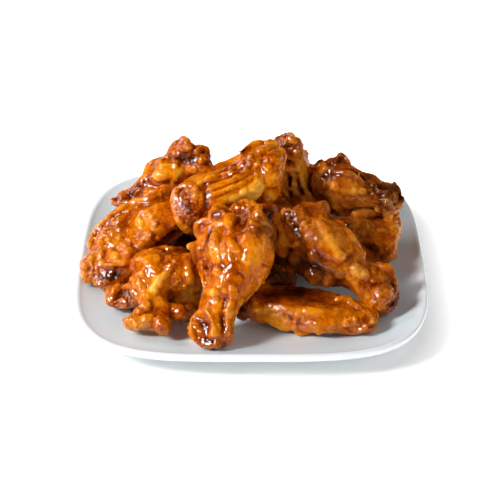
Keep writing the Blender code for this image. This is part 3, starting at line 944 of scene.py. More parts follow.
# %% Creases and colour of the front drumette
def brush_front_drumette(wing):
    """Notes what is pressed, stained and browned."""
    # top edge drawn in; the shaded side stained darker and browned, as painted shade
    stroke(wing, [(0.970, 25, 6.7)], width=6, height=-4)
    stroke(wing, [(0.944, -60, 17.6), (0.896, -69, 20.5), (0.848, -80, 21.5)], width=7, height=-5.5,
           stain=0.7, crust=0.5)
    # dark eye of the curl
    stroke(wing, [(0.815, 70, 19.4)], width=1.8, height=-0.3, stain=0.3)
    # hollow where the glaze pools
    stroke(wing, [(0.791, -3, 12.6), (0.722, -16, 18.9)], width=4.4, height=-2, stain=0.7)
    # open end of the bone
    stroke(wing, [(0.129, 34, 12.1), (0.084, 14, 10.9)], width=4, height=-3.2, stain=0.9)
    # pocket of skin on the shank
    stroke(wing, [(0.263, 10, 12.0), (0.271, -11, 12.4), (0.287, -27, 12.8)], width=3.2, height=-1,
           stain=-0.2, rough=0.6)
    stroke(wing, [(0.285, 19, 12.4), (0.310, -3, 12.9), (0.316, -25, 13.4)], width=1, height=-0.7,
           stain=0.6)
    stroke(wing, [(0.443, -29, 17.0), (0.455, -36, 17.7), (0.442, -47, 17.9)], width=1.2, height=-0.6,
           stain=0.4)
    stroke(wing, [(0.556, -66, 22.7), (0.565, -82, 23.6)], width=1.1, height=-0.5, stain=0.4)
    stroke(wing, [(0.482, 76, 14.6), (0.466, 27, 14.8), (0.472, 3, 16.3)], width=2.2, height=-1.2,
           stain=0.3)
    stroke(wing, [(0.283, -30, 12.7), (0.227, -31, 11.5), (0.161, -38, 11.5), (0.095, -46, 13.5)],
           width=1.8, height=-1.8, stain=0.6)
    # edge of the knuckle drawn in
    stroke(wing, [(0.148, 75, 17.4), (0.085, 89, 16.5), (0.023, 90, 12.7)], width=5, height=-2.5)
    stroke(wing, [(0.016, 96, 11.5), (-0.010, 93, 3.7), (-0.006, -95, 4.1)], width=6, height=-3)
    stroke(wing, [(0.000, 72, 1.3), (0.005, -90, 3.8), (0.023, -68, 10.2)], width=4, height=0.5, stain=0.35,
           rough=0.6)
    # painted shade: the shaded side stained darker, and browned
    stroke(wing, [(0.799, -47, 24.3), (0.752, -67, 24.3), (0.706, -99, 23.5)], width=7, stain=0.3,
           crust=0.8)
    stroke(wing, [(0.754, -37, 24.1), (0.722, -49, 24.7)], width=5, stain=0.2, crust=0.5)
    stroke(wing, [(0.858, -42, 20.7)], width=5, stain=-0.3)
    # groove beside the roll
    stroke(wing, [(0.718, 60, 20.5), (0.662, 60, 20.9), (0.606, 71, 21.0), (0.568, 93, 22.1),
           (0.477, 76, 16.4)], width=1.8, height=-1.3, stain=0.35)
    # red patches between the lights
    stroke(wing, [(0.479, 76, 15.8), (0.390, 66, 12.0)], width=3, stain=0.35)
    stroke(wing, [(0.507, -12, 18.2), (0.455, -30, 17.5)], width=3, stain=0.35)
    # red glaze
    stroke(wing, [(0.911, 90, 11.8), (0.903, 48, 5.4), (0.831, -12, 12.3)], width=5, stain=0.35, rough=0.6)
    # painted sheen: the left face lightened where it catches the light, with blisters for small lights
    stroke(wing, [(0.624, 54, 19.0), (0.560, 39, 16.4), (0.481, 11, 16.3)], width=5, stain=-0.25, rough=0.9)
    # blistered spot
    stroke(wing, [(0.550, -10, 18.9), (0.507, -22, 19.1)], width=4, rough=0.9)
    stroke(wing, [(0.755, 79, 22.8), (0.668, 57, 20.6), (0.601, 59, 19.0)], width=3.5, stain=0.5,
           rough=-0.2)
    stroke(wing, [(0.012, 47, 6.3), (0.008, -37, 6.0), (0.035, -58, 11.3)], width=6, stain=0.4)
    stroke(wing, [(0.076, 54, 13.6), (0.029, 33, 8.2), (0.020, -28, 8.0)], width=6, rough=-0.5, crust=0.3)
    stroke(wing, [(0.021, -14, 7.5), (0.031, -31, 9.6)], width=4, stain=0.4, crust=0.3)
    stroke(wing, [(0.810, -21, 17.9), (0.761, -31, 23.0)], width=5, stain=0.25, crust=0.3)
    stroke(wing, [(0.652, 65, 21.4), (0.590, 64, 19.6)], width=4.5, stain=0.3, rough=-0.5, crust=0.4)
    stroke(wing, [(0.782, 85, 27.3)], width=4, stain=0.35)
    stroke(wing, [(0.919, 85, 15.2)], width=4, stain=-0.4)
    stroke(wing, [(0.485, -3, 17.0)], width=4, stain=0.2, rough=-0.4, crust=0.3)
    # smooth meat with little glaze
    stroke(wing, [(0.660, -33, 21.9), (0.592, -40, 21.6)], width=5, stain=-0.3)
    stroke(wing, [(0.603, -1, 18.8), (0.568, -20, 20.2)], width=4, stain=-0.25)
    stroke(wing, [(0.379, 21, 13.4), (0.355, -6, 13.7)], width=5, stain=-0.5)
    stroke(wing, [(0.238, -45, 11.9), (0.169, -48, 11.5)], width=3, stain=-0.2)
    scatter_folds(wing, 1)


note_shape("front_drumette", brush_front_drumette)

# %% [markdown]
# ## The flat on top
#
# A flat has two thin bones side by side, and its skin sinks in between them. That gives long lines from
# one end to the other. Soft limbs along both bones make the two ridges, and narrow sunken strokes draw
# the lines between them. The lumpy open end has crisp knobs, which stick out further than a stroke could
# lift them, so they are short limbs too.

# %% Folds of the flat on top
def fold_top_flat(wing):
    """Notes what stands off it."""
    # rim of the lumpy end
    limb(wing, (0.237, 18, 11.4, 3.2), (0.167, 30, 12.2, 3.0), (0.100, 24, 10.0, 3.0), (0.052, 3, 6.4, 3.0),
         (0.026, -53, 5.1, 3.2), (0.029, -104, 8.0, 3.5), (0.060, -133, 12.4, 3.5))
    # crisp knobs on it
    limb(wing, (0.107, -8, 9.1, 2.8), (0.151, 3, 10.1, 2.8), (0.199, 2, 10.1, 2.5))
    limb(wing, (0.253, 0, 10.2, 2.8), (0.228, -30, 11.8, 2.8), (0.178, -46, 13.4, 2.5))
    limb(wing, (0.120, -42, 12.3, 2.5))
    # smooth skin over the upper bone
    limb(wing, (0.306, 3, 8.7, 4.2), (0.396, 0, 9.3, 4.2), (0.495, -11, 8.9, 4.2), (0.565, -27, 9.5, 4.5))
    # smooth skin over the lower bone
    limb(wing, (0.279, -70, 15.0, 4.2), (0.371, -78, 16.9, 4.2), (0.485, -83, 18.5, 4.4),
         (0.588, -84, 19.7, 4.2), (0.681, -85, 17.7, 4.5))
    limb(wing, (0.356, -92, 15.6, 3.5), (0.467, -106, 17.0, 3.5), (0.582, -108, 19.3, 3.5))
    # body of the thick end
    limb(wing, (0.872, -16, 9.3, 5.8), (0.960, 13, 2.8, 6.3), (0.956, -50, 5.0, 6.8),
         (0.899, -68, 12.3, 6.8))
    # smooth bulge at the thick end
    limb(wing, (0.829, -72, 14.3, 5.9), (0.819, -94, 15.7, 6.7), (0.808, -127, 16.1, 6.7),
         (0.737, -118, 21.7, 5.9))
    # upper edge
    limb(wing, (0.738, 35, 14.3, 3.0), (0.846, 50, 14.5, 3.2), (0.952, 58, 12.5, 3.0),
         (1.037, 49, 6.7, 3.0))
    limb(wing, (1.026, -39, 6.0, 3.0), (0.997, -82, 7.3, 3.2), (0.935, -93, 13.4, 3.0))
    # bumps between the folds
    knobs(wing, (0.756, -18, 12.9, 2.8), (0.692, -16, 12.1, 2.5), (0.764, -49, 15.2, 2.8),
          (0.667, -46, 14.5, 2.8), (0.704, -65, 17.2, 2.5), (0.561, -46, 15.3, 2.5),
          (0.854, -42, 12.5, 2.8), (0.600, 12, 11.4, 2.5))


note_shape("top_flat", fold_top_flat)


# %% Creases and colour of the flat on top
def brush_top_flat(wing):
    """Notes what is pressed, stained and browned."""
    # groove behind the lumpy end
    stroke(wing, [(0.307, -15, 11.4), (0.267, -51, 16.4), (0.223, -72, 17.0), (0.167, -89, 16.0)],
           width=2.4, height=-1.8, stain=0.5)
    # upper edge drawn in
    stroke(wing, [(0.452, 43, 18.4), (0.549, 40, 17.6), (0.655, 45, 17.0), (0.725, 45, 16.1)], width=9,
           height=-8)
    # browned upper edge
    stroke(wing, [(0.834, 53, 15.8), (0.939, 57, 15.3), (1.007, 51, 10.5)], width=1.6, stain=0.5)
    stroke(wing, [(0.721, -87, 20.1), (0.702, -104, 20.3), (0.673, -115, 22.2)], width=1.4, height=-0.5,
           stain=0.2)
    # lines that run with the bones
    stroke(wing, [(0.287, -43, 15.3), (0.413, -52, 17.7), (0.548, -57, 18.6), (0.685, -58, 17.5)],
           width=1.1, height=-0.55, stain=0.4)
    stroke(wing, [(0.293, -63, 17.8), (0.445, -67, 19.6), (0.586, -71, 20.4), (0.695, -68, 18.8)],
           width=1.1, height=-0.55, stain=0.4)
    stroke(wing, [(0.332, -11, 11.2), (0.436, -30, 13.4), (0.549, -40, 15.2), (0.660, -37, 14.4)],
           width=1.1, height=-0.5, stain=0.4)
    stroke(wing, [(0.366, -70, 19.1), (0.484, -74, 20.3), (0.603, -78, 21.4), (0.700, -77, 19.8)], width=1,
           height=-0.4, stain=0.35)
    stroke(wing, [(0.332, -54, 17.4), (0.448, -59, 18.9), (0.571, -63, 19.3)], width=1.2, height=0.5,
           stain=-0.2)
    # blistered middle
    stroke(wing, [(0.576, -32, 13.4), (0.682, -26, 13.6), (0.764, -33, 15.1), (0.773, -53, 17.0),
           (0.685, -65, 18.5)], width=7, stain=0.1, rough=1)
    # dark lumpy end
    stroke(wing, [(0.146, -15, 11.2), (0.091, -59, 13.7), (0.099, -92, 14.4)], width=7, stain=0.4,
           rough=0.9, crust=0.2)
    # red glaze
    stroke(wing, [(0.338, -14, 11.3), (0.277, -58, 17.3)], width=5, stain=0.2)
    # smooth skin with little glaze
    stroke(wing, [(0.445, -76, 19.9), (0.551, -84, 22.0), (0.667, -91, 21.6)], width=6, stain=-0.75)
    stroke(wing, [(0.817, -81, 18.7), (0.819, -129, 17.7)], width=6, stain=-0.2)
    # painted light: lightens the lower bulge, which faces away from the key light
    stroke(wing, [(0.690, -70, 19.1), (0.670, -96, 21.5)], width=6, stain=-0.6, crust=-0.3)
    stroke(wing, [(0.375, 10, 12.5), (0.475, 1, 11.6)], width=4, stain=-0.3)
    stroke(wing, [(0.377, -86, 18.9), (0.455, -94, 20.0)], width=4, stain=-0.3)
    scatter_folds(wing, 2)


note_shape("top_flat", brush_top_flat)

# %% [markdown]
# ## The wing that stands up
#
# One wing stands on end behind the flat, and only its crusty end and one side show. Skin that hangs on a
# standing wing falls in upright folds with dark creases between them. Each fold is a limb that runs down
# the side, and each crease is a narrow sunken stroke with a stain, because glaze collects there. The
# outline is drawn in by one wide stroke that sinks, which leaves no edge.

# %% Shape the upright wing
def shape_upright_drumette(wing):
    """Notes its folds, creases and stains."""
    wing.browned = 0.2
    # crust of the open end
    limb(wing, (0.938, -169, 10.7, 2.3), (0.952, -147, 8.1, 2.5), (0.977, -142, 0.5, 2.8),
         (0.990, 59, 6.9, 2.5))
    limb(wing, (0.973, 121, 6.0, 2.8), (0.975, 79, 9.9, 3.0), (0.962, 57, 9.9, 3.0), (0.898, 59, 11.3, 3.0),
         (0.860, 72, 10.7, 3.0))
    limb(wing, (0.922, 128, 9.6, 2.2), (0.921, 96, 11.6, 2.2))
    # shoulder below the crust
    limb(wing, (0.831, 108, 10.3, 3.0), (0.836, 86, 10.5, 3.2), (0.758, 78, 8.8, 3.2),
         (0.685, 78, 10.7, 3.0))
    limb(wing, (0.740, 125, 10.2, 2.8), (0.698, 107, 11.1, 3.0), (0.690, 84, 10.8, 2.8))
    # upright folds
    limb(wing, (0.635, 118, 12.8, 2.5), (0.549, 123, 14.5, 2.5), (0.476, 116, 17.0, 2.5))
    limb(wing, (0.650, 90, 12.2, 2.5), (0.561, 97, 13.9, 2.8), (0.483, 93, 16.7, 2.5))
    limb(wing, (0.639, 76, 12.1, 2.5), (0.545, 75, 14.1, 2.5), (0.465, 67, 16.6, 2.5))
    # dents between them
    stroke(wing, [(0.954, 101, 11.4), (0.939, 82, 13.2)], width=2, height=-1.6, stain=0.5)
    stroke(wing, [(0.803, 120, 11.2), (0.767, 93, 10.6)], width=2, height=-1.6, stain=0.5)
    stroke(wing, [(0.654, 105, 13.5), (0.562, 108, 15.2)], width=2, height=-1.6, stain=0.5)
    # dark crust
    stroke(wing, [(0.990, 109, 5.2), (0.931, 74, 13.3)], width=9, stain=0.2, rough=0.8, crust=0.1)
    stroke(wing, [(0.725, 109, 11.7), (0.718, 75, 11.1), (0.643, 55, 12.8)], width=8, stain=-0.7)
    # dark creases between the folds
    stroke(wing, [(0.636, 108, 13.9), (0.544, 108, 15.7), (0.477, 107, 18.0)], width=1.6, height=-1,
           stain=0.8)
    stroke(wing, [(0.663, 83, 12.9), (0.571, 84, 14.8), (0.493, 81, 17.5)], width=1.6, height=-1, stain=0.8)
    stroke(wing, [(0.446, 124, 19.2), (0.433, 96, 19.4)], width=4, stain=0.5)
    # crisp bits
    limb(wing, (0.652, 96, 12.8, 2.0), (0.598, 73, 13.3, 2.0), (0.534, 81, 15.2, 2.0))
    # outline drawn in by one wide stroke
    stroke(wing, [(0.675, -57, 16.7), (0.617, -50, 15.2), (0.553, -44, 14.3)], width=13, height=-8.5)
    stroke(wing, [(0.974, -147, 8.4), (0.964, -77, 4.9)], width=6, height=-1.5)
    stroke(wing, [(0.598, 107, 14.5), (0.480, 86, 18.1)], width=9, stain=-0.8, crust=0.5)
    scatter_folds(wing, 3, sides=(60, 300))


note_shape("upright_drumette", shape_upright_drumette)

# %% [markdown]
# ## The drumette at the back left
#
# Here the joint has opened, and strands of skin cross a hollow that is full of dark glaze. The knob, the
# lobes round the hollow and the strands are limbs of different thickness, laid beside each other with
# gaps between them. The hollow itself is a stroke over the gaps: it sinks them a little more, and stains
# and roughens them, so that the strands stay light while all between them is dark.

# %% Shape the drumette at the back left
def shape_back_left_drumette(wing):
    """Notes its folds, creases and stains."""
    # small knob on the top
    limb(wing, (0.825, 19, 13.5, 3.2), (0.836, 42, 16.9, 3.0), (0.896, 5, 14.0, 3.0))
    stroke(wing, [(0.730, 19, 16.8)], width=4, height=-3)
    stroke(wing, [(0.956, -13, 12.3)], width=3, height=-2.5)
    limb(wing, (0.832, -3, 12.4, 3.0), (0.912, -23, 13.0, 2.8))
    # lobe beside the hollow
    limb(wing, (0.944, -29, 8.9, 3.8), (0.979, -10, 4.3, 3.7), (0.995, -48, 2.1, 3.4),
         (0.977, -84, 6.5, 3.8), (0.948, -84, 11.0, 3.5))
    # strands of skin beside the hollow
    limb(wing, (0.605, -14, 13.3, 2.2), (0.667, -3, 12.5, 2.5), (0.726, -5, 11.7, 2.5),
         (0.789, -10, 10.5, 2.2))
    limb(wing, (0.723, -27, 10.4, 1.9), (0.777, -44, 8.0, 1.9), (0.847, -58, 7.5, 1.9))
    limb(wing, (0.728, -12, 11.3, 1.8), (0.788, -24, 8.9, 1.8), (0.856, -37, 9.2, 1.8))
    limb(wing, (0.545, -20, 12.8, 2.8), (0.622, -38, 12.4, 3.0), (0.693, -50, 10.9, 2.8))
    # wide smooth roll
    limb(wing, (0.447, -27, 9.9, 4.2), (0.554, -55, 11.6, 4.8), (0.666, -69, 10.8, 4.8),
         (0.766, -89, 7.7, 4.5), (0.875, -94, 11.4, 3.8))
    limb(wing, (0.367, -80, 9.3, 3.5), (0.478, -92, 11.0, 3.8), (0.589, -100, 13.2, 3.5))
    limb(wing, (0.364, -21, 9.7, 3.0), (0.328, -48, 9.4, 3.2), (0.242, -58, 8.5, 3.0))
    # folds towards the thin end
    limb(wing, (0.316, -22, 9.3, 2.8), (0.238, -22, 8.0, 2.8), (0.192, -41, 7.9, 3.0),
         (0.129, -46, 9.4, 2.8))
    limb(wing, (0.010, -23, 4.8, 3.0), (0.068, -61, 9.8, 3.2), (0.137, -75, 10.7, 3.0))
    # hollow full of dark glaze
    stroke(wing, [(0.717, -14, 12.2), (0.792, -28, 9.2), (0.865, -53, 8.9)], width=4.2, height=-0.8,
           stain=0.4, rough=0.6, crust=0.4)
    # upper side drawn in
    stroke(wing, [(0.574, 24, 15.8), (0.491, 4, 14.8), (0.344, -9, 10.8), (0.154, -23, 8.6)], width=8,
           height=-5.5)
    stroke(wing, [(0.944, -36, 5.6), (0.988, -31, 3.9)], width=1.5, height=-1, stain=0.4)
    stroke(wing, [(0.374, -37, 11.2), (0.469, -68, 12.6), (0.585, -83, 14.5), (0.683, -98, 13.4)], width=3,
           height=-0.5, stain=0.2)
    stroke(wing, [(0.540, -50, 14.0), (0.674, -70, 13.2), (0.810, -95, 10.2)], width=4.5, stain=-0.2)
    # reddish glaze
    stroke(wing, [(0.243, -35, 9.7), (0.337, -58, 11.1)], width=6, stain=0.35)
    stroke(wing, [(0.010, -23, 6.2), (0.078, -63, 11.9)], width=5, stain=0.35, rough=0.7)
    stroke(wing, [(0.823, 4, 14.1), (0.891, -17, 15.1)], width=5, stain=0.4)
    stroke(wing, [(0.851, -64, 8.6)], width=4, stain=0.3)
    scatter_folds(wing, 4)


note_shape("back_left_drumette", shape_back_left_drumette)

# %% [markdown]
# ## The flat on the left
#
# This flat is broad and soft, with one long smooth fold along its top, bulges of meat below it, blisters
# near its upper edge, and a thin wrinkled end where the hollow bone shows. Thick limbs that lie half in
# the body make bulges without a seam, and small ones make the blisters. The open bone is a rim of thin
# limbs round a stroke that sinks by some mm and is stained nearly black.

# %% Folds of the flat on the left
def fold_left_flat(wing):
    """Notes what stands off it."""
    # long smooth fold along the top
    limb(wing, (0.458, 66, 24.3, 3.0), (0.550, 62, 22.2, 3.4), (0.658, 64, 19.8, 3.4),
         (0.730, 40, 14.1, 3.5), (0.823, 26, 10.7, 3.2))
    # bulges of meat
    limb(wing, (0.569, 8, 8.5, 4.4), (0.544, -26, 8.6, 4.2))
    limb(wing, (0.659, 2, 10.3, 4.2), (0.738, -18, 10.7, 4.5), (0.801, -42, 10.9, 4.2))
    knobs(wing, (0.638, -29, 12.2, 2.5), (0.600, -50, 16.1, 2.5))
    limb(wing, (0.500, -62, 19.0, 3.8), (0.535, -74, 21.2, 3.8))
    limb(wing, (0.246, -21, 5.1, 4.8), (0.234, -51, 11.4, 4.8))
    limb(wing, (0.291, -58, 14.3, 4.5), (0.340, -64, 17.0, 4.0))
    # blisters on the upper left
    knobs(wing, (0.317, 71, 23.2, 2.3), (0.366, 71, 23.0, 2.2), (0.420, 71, 22.3, 2.3),
          (0.448, 55, 18.9, 2.4), (0.418, 30, 13.3, 2.5), (0.264, 69, 18.9, 2.5), (0.248, 39, 12.4, 2.6),
          (0.297, 32, 12.2, 2.4), (0.355, 31, 13.0, 2.4), (0.358, 5, 9.5, 2.6), (0.323, 48, 16.2, 2.2),
          (0.341, -39, 10.8, 2.4))
    # outer edge
    limb(wing, (0.196, 67, 18.4, 3.4), (0.288, 74, 22.7, 3.4), (0.384, 71, 23.9, 3.4),
         (0.461, 64, 23.3, 3.0))
    # wrinkled thin end
    limb(wing, (0.069, 48, 9.7, 3.2), (0.024, 51, 6.1, 3.5), (0.003, 73, 2.3, 3.5))
    limb(wing, (0.120, 32, 9.2, 2.5), (0.077, 4, 6.5, 2.5), (0.038, -23, 4.0, 2.5))
    limb(wing, (0.195, 22, 8.8, 2.5), (0.149, -4, 6.8, 2.5))
    limb(wing, (0.079, 36, 9.0, 2.1), (0.033, 30, 5.7, 2.1), (0.005, 56, 1.2, 2.0))
    limb(wing, (0.112, -1, 7.0, 2.0), (0.078, -32, 6.8, 2.0), (0.044, -65, 6.7, 2.0))
    # rim of skin round the bone
    limb(wing, (0.023, -82, 3.2, 3.0), (0.038, -83, 9.7, 3.2), (0.071, -80, 13.1, 3.0))
    limb(wing, (0.124, -21, 6.9, 2.8), (0.149, -52, 11.7, 2.8), (0.200, -64, 15.3, 3.0),
         (0.265, -70, 17.9, 3.2), (0.317, -75, 19.9, 3.0))
    limb(wing, (0.172, -76, 15.8, 1.5), (0.134, -89, 16.1, 1.5))


note_shape("left_flat", fold_left_flat)


# %% Creases and colour of the flat on the left
def brush_left_flat(wing):
    """Notes what is pressed, stained and browned."""
    # soft crease along the wing
    stroke(wing, [(0.393, -3, 10.5), (0.470, 24, 13.4), (0.551, 35, 15.9), (0.643, 33, 15.1),
           (0.723, 11, 13.4), (0.805, -4, 11.1)], width=3.6, height=-0.9, stain=0.35)
    stroke(wing, [(0.660, -57, 19.3), (0.653, -69, 22.1)], width=3, height=-0.8, stain=0.3)
    stroke(wing, [(0.577, -72, 23.1), (0.613, -76, 23.4)], width=4, stain=-0.5, crust=-0.3)
    # red glaze on the fold
    stroke(wing, [(0.536, 64, 22.4), (0.622, 48, 18.4), (0.722, 37, 15.4), (0.816, 22, 12.0)], width=4,
           stain=0.25)
    stroke(wing, [(0.248, 73, 21.7), (0.330, 65, 21.4), (0.413, 47, 18.2)], width=8, stain=0.1, rough=0.9)
    stroke(wing, [(0.401, -21, 10.3), (0.434, -51, 17.1), (0.527, -52, 18.2)], width=5, rough=0.7)
    # dark open end of the bone
    stroke(wing, [(0.112, -71, 15.4), (0.139, -79, 17.4)], width=5.6, height=-4.2, stain=0.7, rough=0.2,
           crust=0.5)
    # pale wrinkled skin
    stroke(wing, [(0.079, 36, 10.0), (0.044, 9, 6.4)], width=6, stain=-0.1, rough=0.6)
    stroke(wing, [(0.045, -59, 7.0), (0.084, -64, 12.8)], width=5, stain=0.3, rough=0.3, crust=0.4)
    stroke(wing, [(0.158, 20, 9.4)], width=5, stain=-0.4, rough=0.4)
    stroke(wing, [(0.745, 50, 17.3), (0.787, 41, 15.1)], width=4, stain=0.5, rough=-0.4)
    stroke(wing, [(-0.018, 139, 5.2), (-0.001, -164, 5.6)], width=4, height=-2.5)
    stroke(wing, [(0.323, 72, 23.0), (0.349, 30, 13.7)], width=7, stain=-0.1, rough=0.7)
    # smooth skin with little glaze
    stroke(wing, [(0.240, -25, 8.5), (0.238, -53, 15.1)], width=5, stain=-0.35)
    stroke(wing, [(0.580, 8, 11.1), (0.556, -34, 12.1)], width=4, stain=-0.3)
    stroke(wing, [(0.402, -62, 20.4), (0.429, -74, 22.9)], width=4, stain=0.35)
    # lower edge drawn back
    stroke(wing, [(0.507, -79, 23.8), (0.599, -89, 23.7), (0.709, -97, 22.5)], width=7, height=-7,
           stain=0.3)
    # painted shade: the underside stained nearly black, where it lies in the gap between the wings
    stroke(wing, [(0.553, -91, 23.6), (0.604, -93, 23.4), (0.656, -95, 23.0), (0.709, -97, 22.5)],
           width=4.5, height=-5, stain=1.7)
    stroke(wing, [(0.291, -25, 9.3), (0.315, -61, 18.7)], width=6, stain=0.3)
    stroke(wing, [(0.608, 18, 12.7), (0.632, -19, 12.5)], width=5, stain=0.2)
    stroke(wing, [(0.550, 62, 23.7), (0.650, 63, 20.5)], width=3, stain=-0.2)
    scatter_folds(wing, 5)


note_shape("left_flat", brush_left_flat)

# %% [markdown]
# ## The lumpy wing at the front left
#
# The meat of this wing has pulled together into a block, and three knuckles stick out of it, two of them
# down to the plate. It is built as one would build it in clay. Thick limbs give the shoulder, the straight
# edge and the block, and thinner ones the knuckles with a neck before each. Strokes then darken its back
# end and the dent in front as painted shade, and brown the knuckles, because thin ends fry first.

# %% Folds of the lumpy wing
def fold_front_left_drumette(wing):
    """Notes what stands off it."""
    # round shoulder
    limb(wing, (0.330, 14, 20.1, 4.8), (0.355, 4, 20.2, 4.8))
    # straight upper edge
    limb(wing, (0.412, 15, 22.5, 2.8), (0.478, 4, 19.6, 2.8), (0.516, -15, 19.4, 2.8),
         (0.728, -37, 7.3, 2.8))
    # low bumps on the upper face
    knobs(wing, (0.394, -15, 20.1, 3.0), (0.374, -31, 22.5, 2.8), (0.320, -31, 20.0, 3.0))
    # fold across the face
    limb(wing, (0.324, -29, 20.4, 2.8), (0.285, -28, 17.3, 3.2), (0.242, -25, 13.3, 3.5),
         (0.213, -21, 7.5, 3.8), (0.177, -17, 2.9, 4.0))
    # smooth block on the left
    limb(wing, (0.261, 47, 11.8, 4.6), (0.218, 33, 5.7, 4.8), (0.161, -33, 2.9, 4.6))
    # rounded left edge
    limb(wing, (0.269, 26, 15.9, 3.0), (0.282, 53, 15.3, 3.0), (0.313, 81, 16.6, 3.0),
         (0.234, 81, 10.8, 3.5), (0.195, 93, 4.0, 3.8), (0.107, -62, 2.6, 3.8))
    # fold down the right side
    limb(wing, (0.461, -38, 22.6, 3.8), (0.386, -51, 24.7, 4.0), (0.353, -66, 23.0, 4.0),
         (0.444, -106, 16.9, 3.8), (0.450, -133, 20.5, 3.4))
    # meat that hangs down to the plate
    limb(wing, (0.453, -49, 23.3, 5.2), (0.410, -68, 23.3, 5.5), (0.520, -112, 18.4, 5.7),
         (0.470, -125, 22.6, 5.7))
    limb(wing, (0.444, -136, 17.2, 5.2), (0.444, -130, 20.4, 5.8), (0.450, -127, 24.3, 5.5))
    limb(wing, (0.368, -109, 13.3, 7.4), (0.437, -137, 18.5, 7.4))
    limb(wing, (0.203, -105, 17.9, 4.8), (0.208, -106, 23.3, 5.2), (0.429, -135, 27.7, 5.2))
    limb(wing, (0.322, -71, 20.6, 2.5), (0.362, -97, 15.8, 2.5), (0.389, -124, 15.3, 2.2))
    # knuckle that sticks out to the left
    limb(wing, (0.211, 104, 26.2, 3.8), (0.260, 97, 25.0, 4.2), (0.308, 99, 22.6, 3.4),
         (0.282, 87, 16.1, 3.2))
    limb(wing, (0.203, 108, 24.3, 3.5), (0.207, 112, 18.4, 3.8), (0.217, 115, 13.4, 3.2),
         (0.205, 115, 7.5, 3.0))
    # lower knuckle
    limb(wing, (0.007, 152, 7.2, 4.5), (0.011, -172, 4.4, 4.2), (0.025, -131, 6.3, 4.5),
         (0.047, -110, 8.2, 3.8))
    limb(wing, (0.030, 142, 3.9, 3.2), (0.073, 150, 1.9, 3.2), (0.091, 164, 0.3, 3.0))
    # middle knuckle
    limb(wing, (0.031, -99, 13.9, 3.8), (0.010, -106, 16.2, 4.5), (0.040, -116, 19.7, 4.5))


note_shape("front_left_drumette", fold_front_left_drumette)


# %% Creases and colour of the lumpy wing
def brush_front_left_drumette(wing):
    """Notes what is pressed, stained and browned."""
    # stained underside
    stroke(wing, [(0.426, -144, 20.4), (0.429, -136, 27.3)], width=7, stain=0.35)
    # painted shade: the back end, deep in the heap, stained nearly black
    stroke(wing, [(0.850, 61, 8.8), (0.863, 19, 7.3), (0.828, -32, 7.4)], width=9, height=-4, stain=1.8)
    # dent in the front, stained darker as painted shade
    stroke(wing, [(0.265, -66, 14.7), (0.237, -94, 14.5)], width=6, height=-1.4, stain=0.3)
    # blistered middle
    stroke(wing, [(0.419, -8, 21.7), (0.331, -29, 22.2), (0.292, -53, 20.6), (0.308, -81, 17.3)], width=6,
           stain=0.1, rough=0.9)
    stroke(wing, [(0.015, 159, 5.7), (0.037, -150, 4.9), (0.040, -124, 7.7)], width=1.6, height=-1,
           stain=0.4)
    # dark knuckle
    stroke(wing, [(0.225, 99, 25.3), (0.224, 100, 18.3), (0.214, 96, 12.0)], width=7, stain=0.4, rough=0.6)
    stroke(wing, [(0.312, 45, 22.3), (0.284, 33, 19.4)], width=5, stain=0.35)
    stroke(wing, [(0.104, -79, 8.7), (0.102, -88, 11.9)], width=3, height=-1, stain=0.6)
    stroke(wing, [(0.149, -98, 16.8), (0.216, -102, 23.9)], width=7, stain=0.4)
    # smooth skin with little glaze; on the right side, in the shadow of the wing beside it, the lightening is
    # painted light
    stroke(wing, [(0.326, -58, 24.1), (0.335, -81, 20.3), (0.441, -137, 20.9)], width=7, stain=-0.55)
    stroke(wing, [(0.305, 16, 21.2), (0.335, 7, 22.4)], width=5, stain=-0.25)
    stroke(wing, [(0.266, -28, 17.3), (0.224, -21, 11.9), (0.199, -22, 6.8)], width=4, stain=-0.6)
    stroke(wing, [(0.008, -172, 6.5), (0.035, -126, 8.1)], width=6, stain=-0.2)
    # painted light: lightens the right side, which lies in the shadow of the wing beside it
    stroke(wing, [(0.364, -88, 19.6), (0.453, -128, 20.3)], width=5, stain=-1, crust=-0.3)
    stroke(wing, [(0.219, 99, 15.1), (0.209, 102, 9.9)], width=6, stain=0.4, crust=0.4)
    stroke(wing, [(0.082, 111, 11.0), (0.022, 127, 8.8)], width=4, height=-2.5)
    stroke(wing, [(0.221, 127, 10.3), (0.101, -76, 1.2)], width=5, stain=0.4, crust=0.3)
    scatter_folds(wing, 6, folds=9, lumps=3, dents=4)


note_shape("front_left_drumette", brush_front_left_drumette)
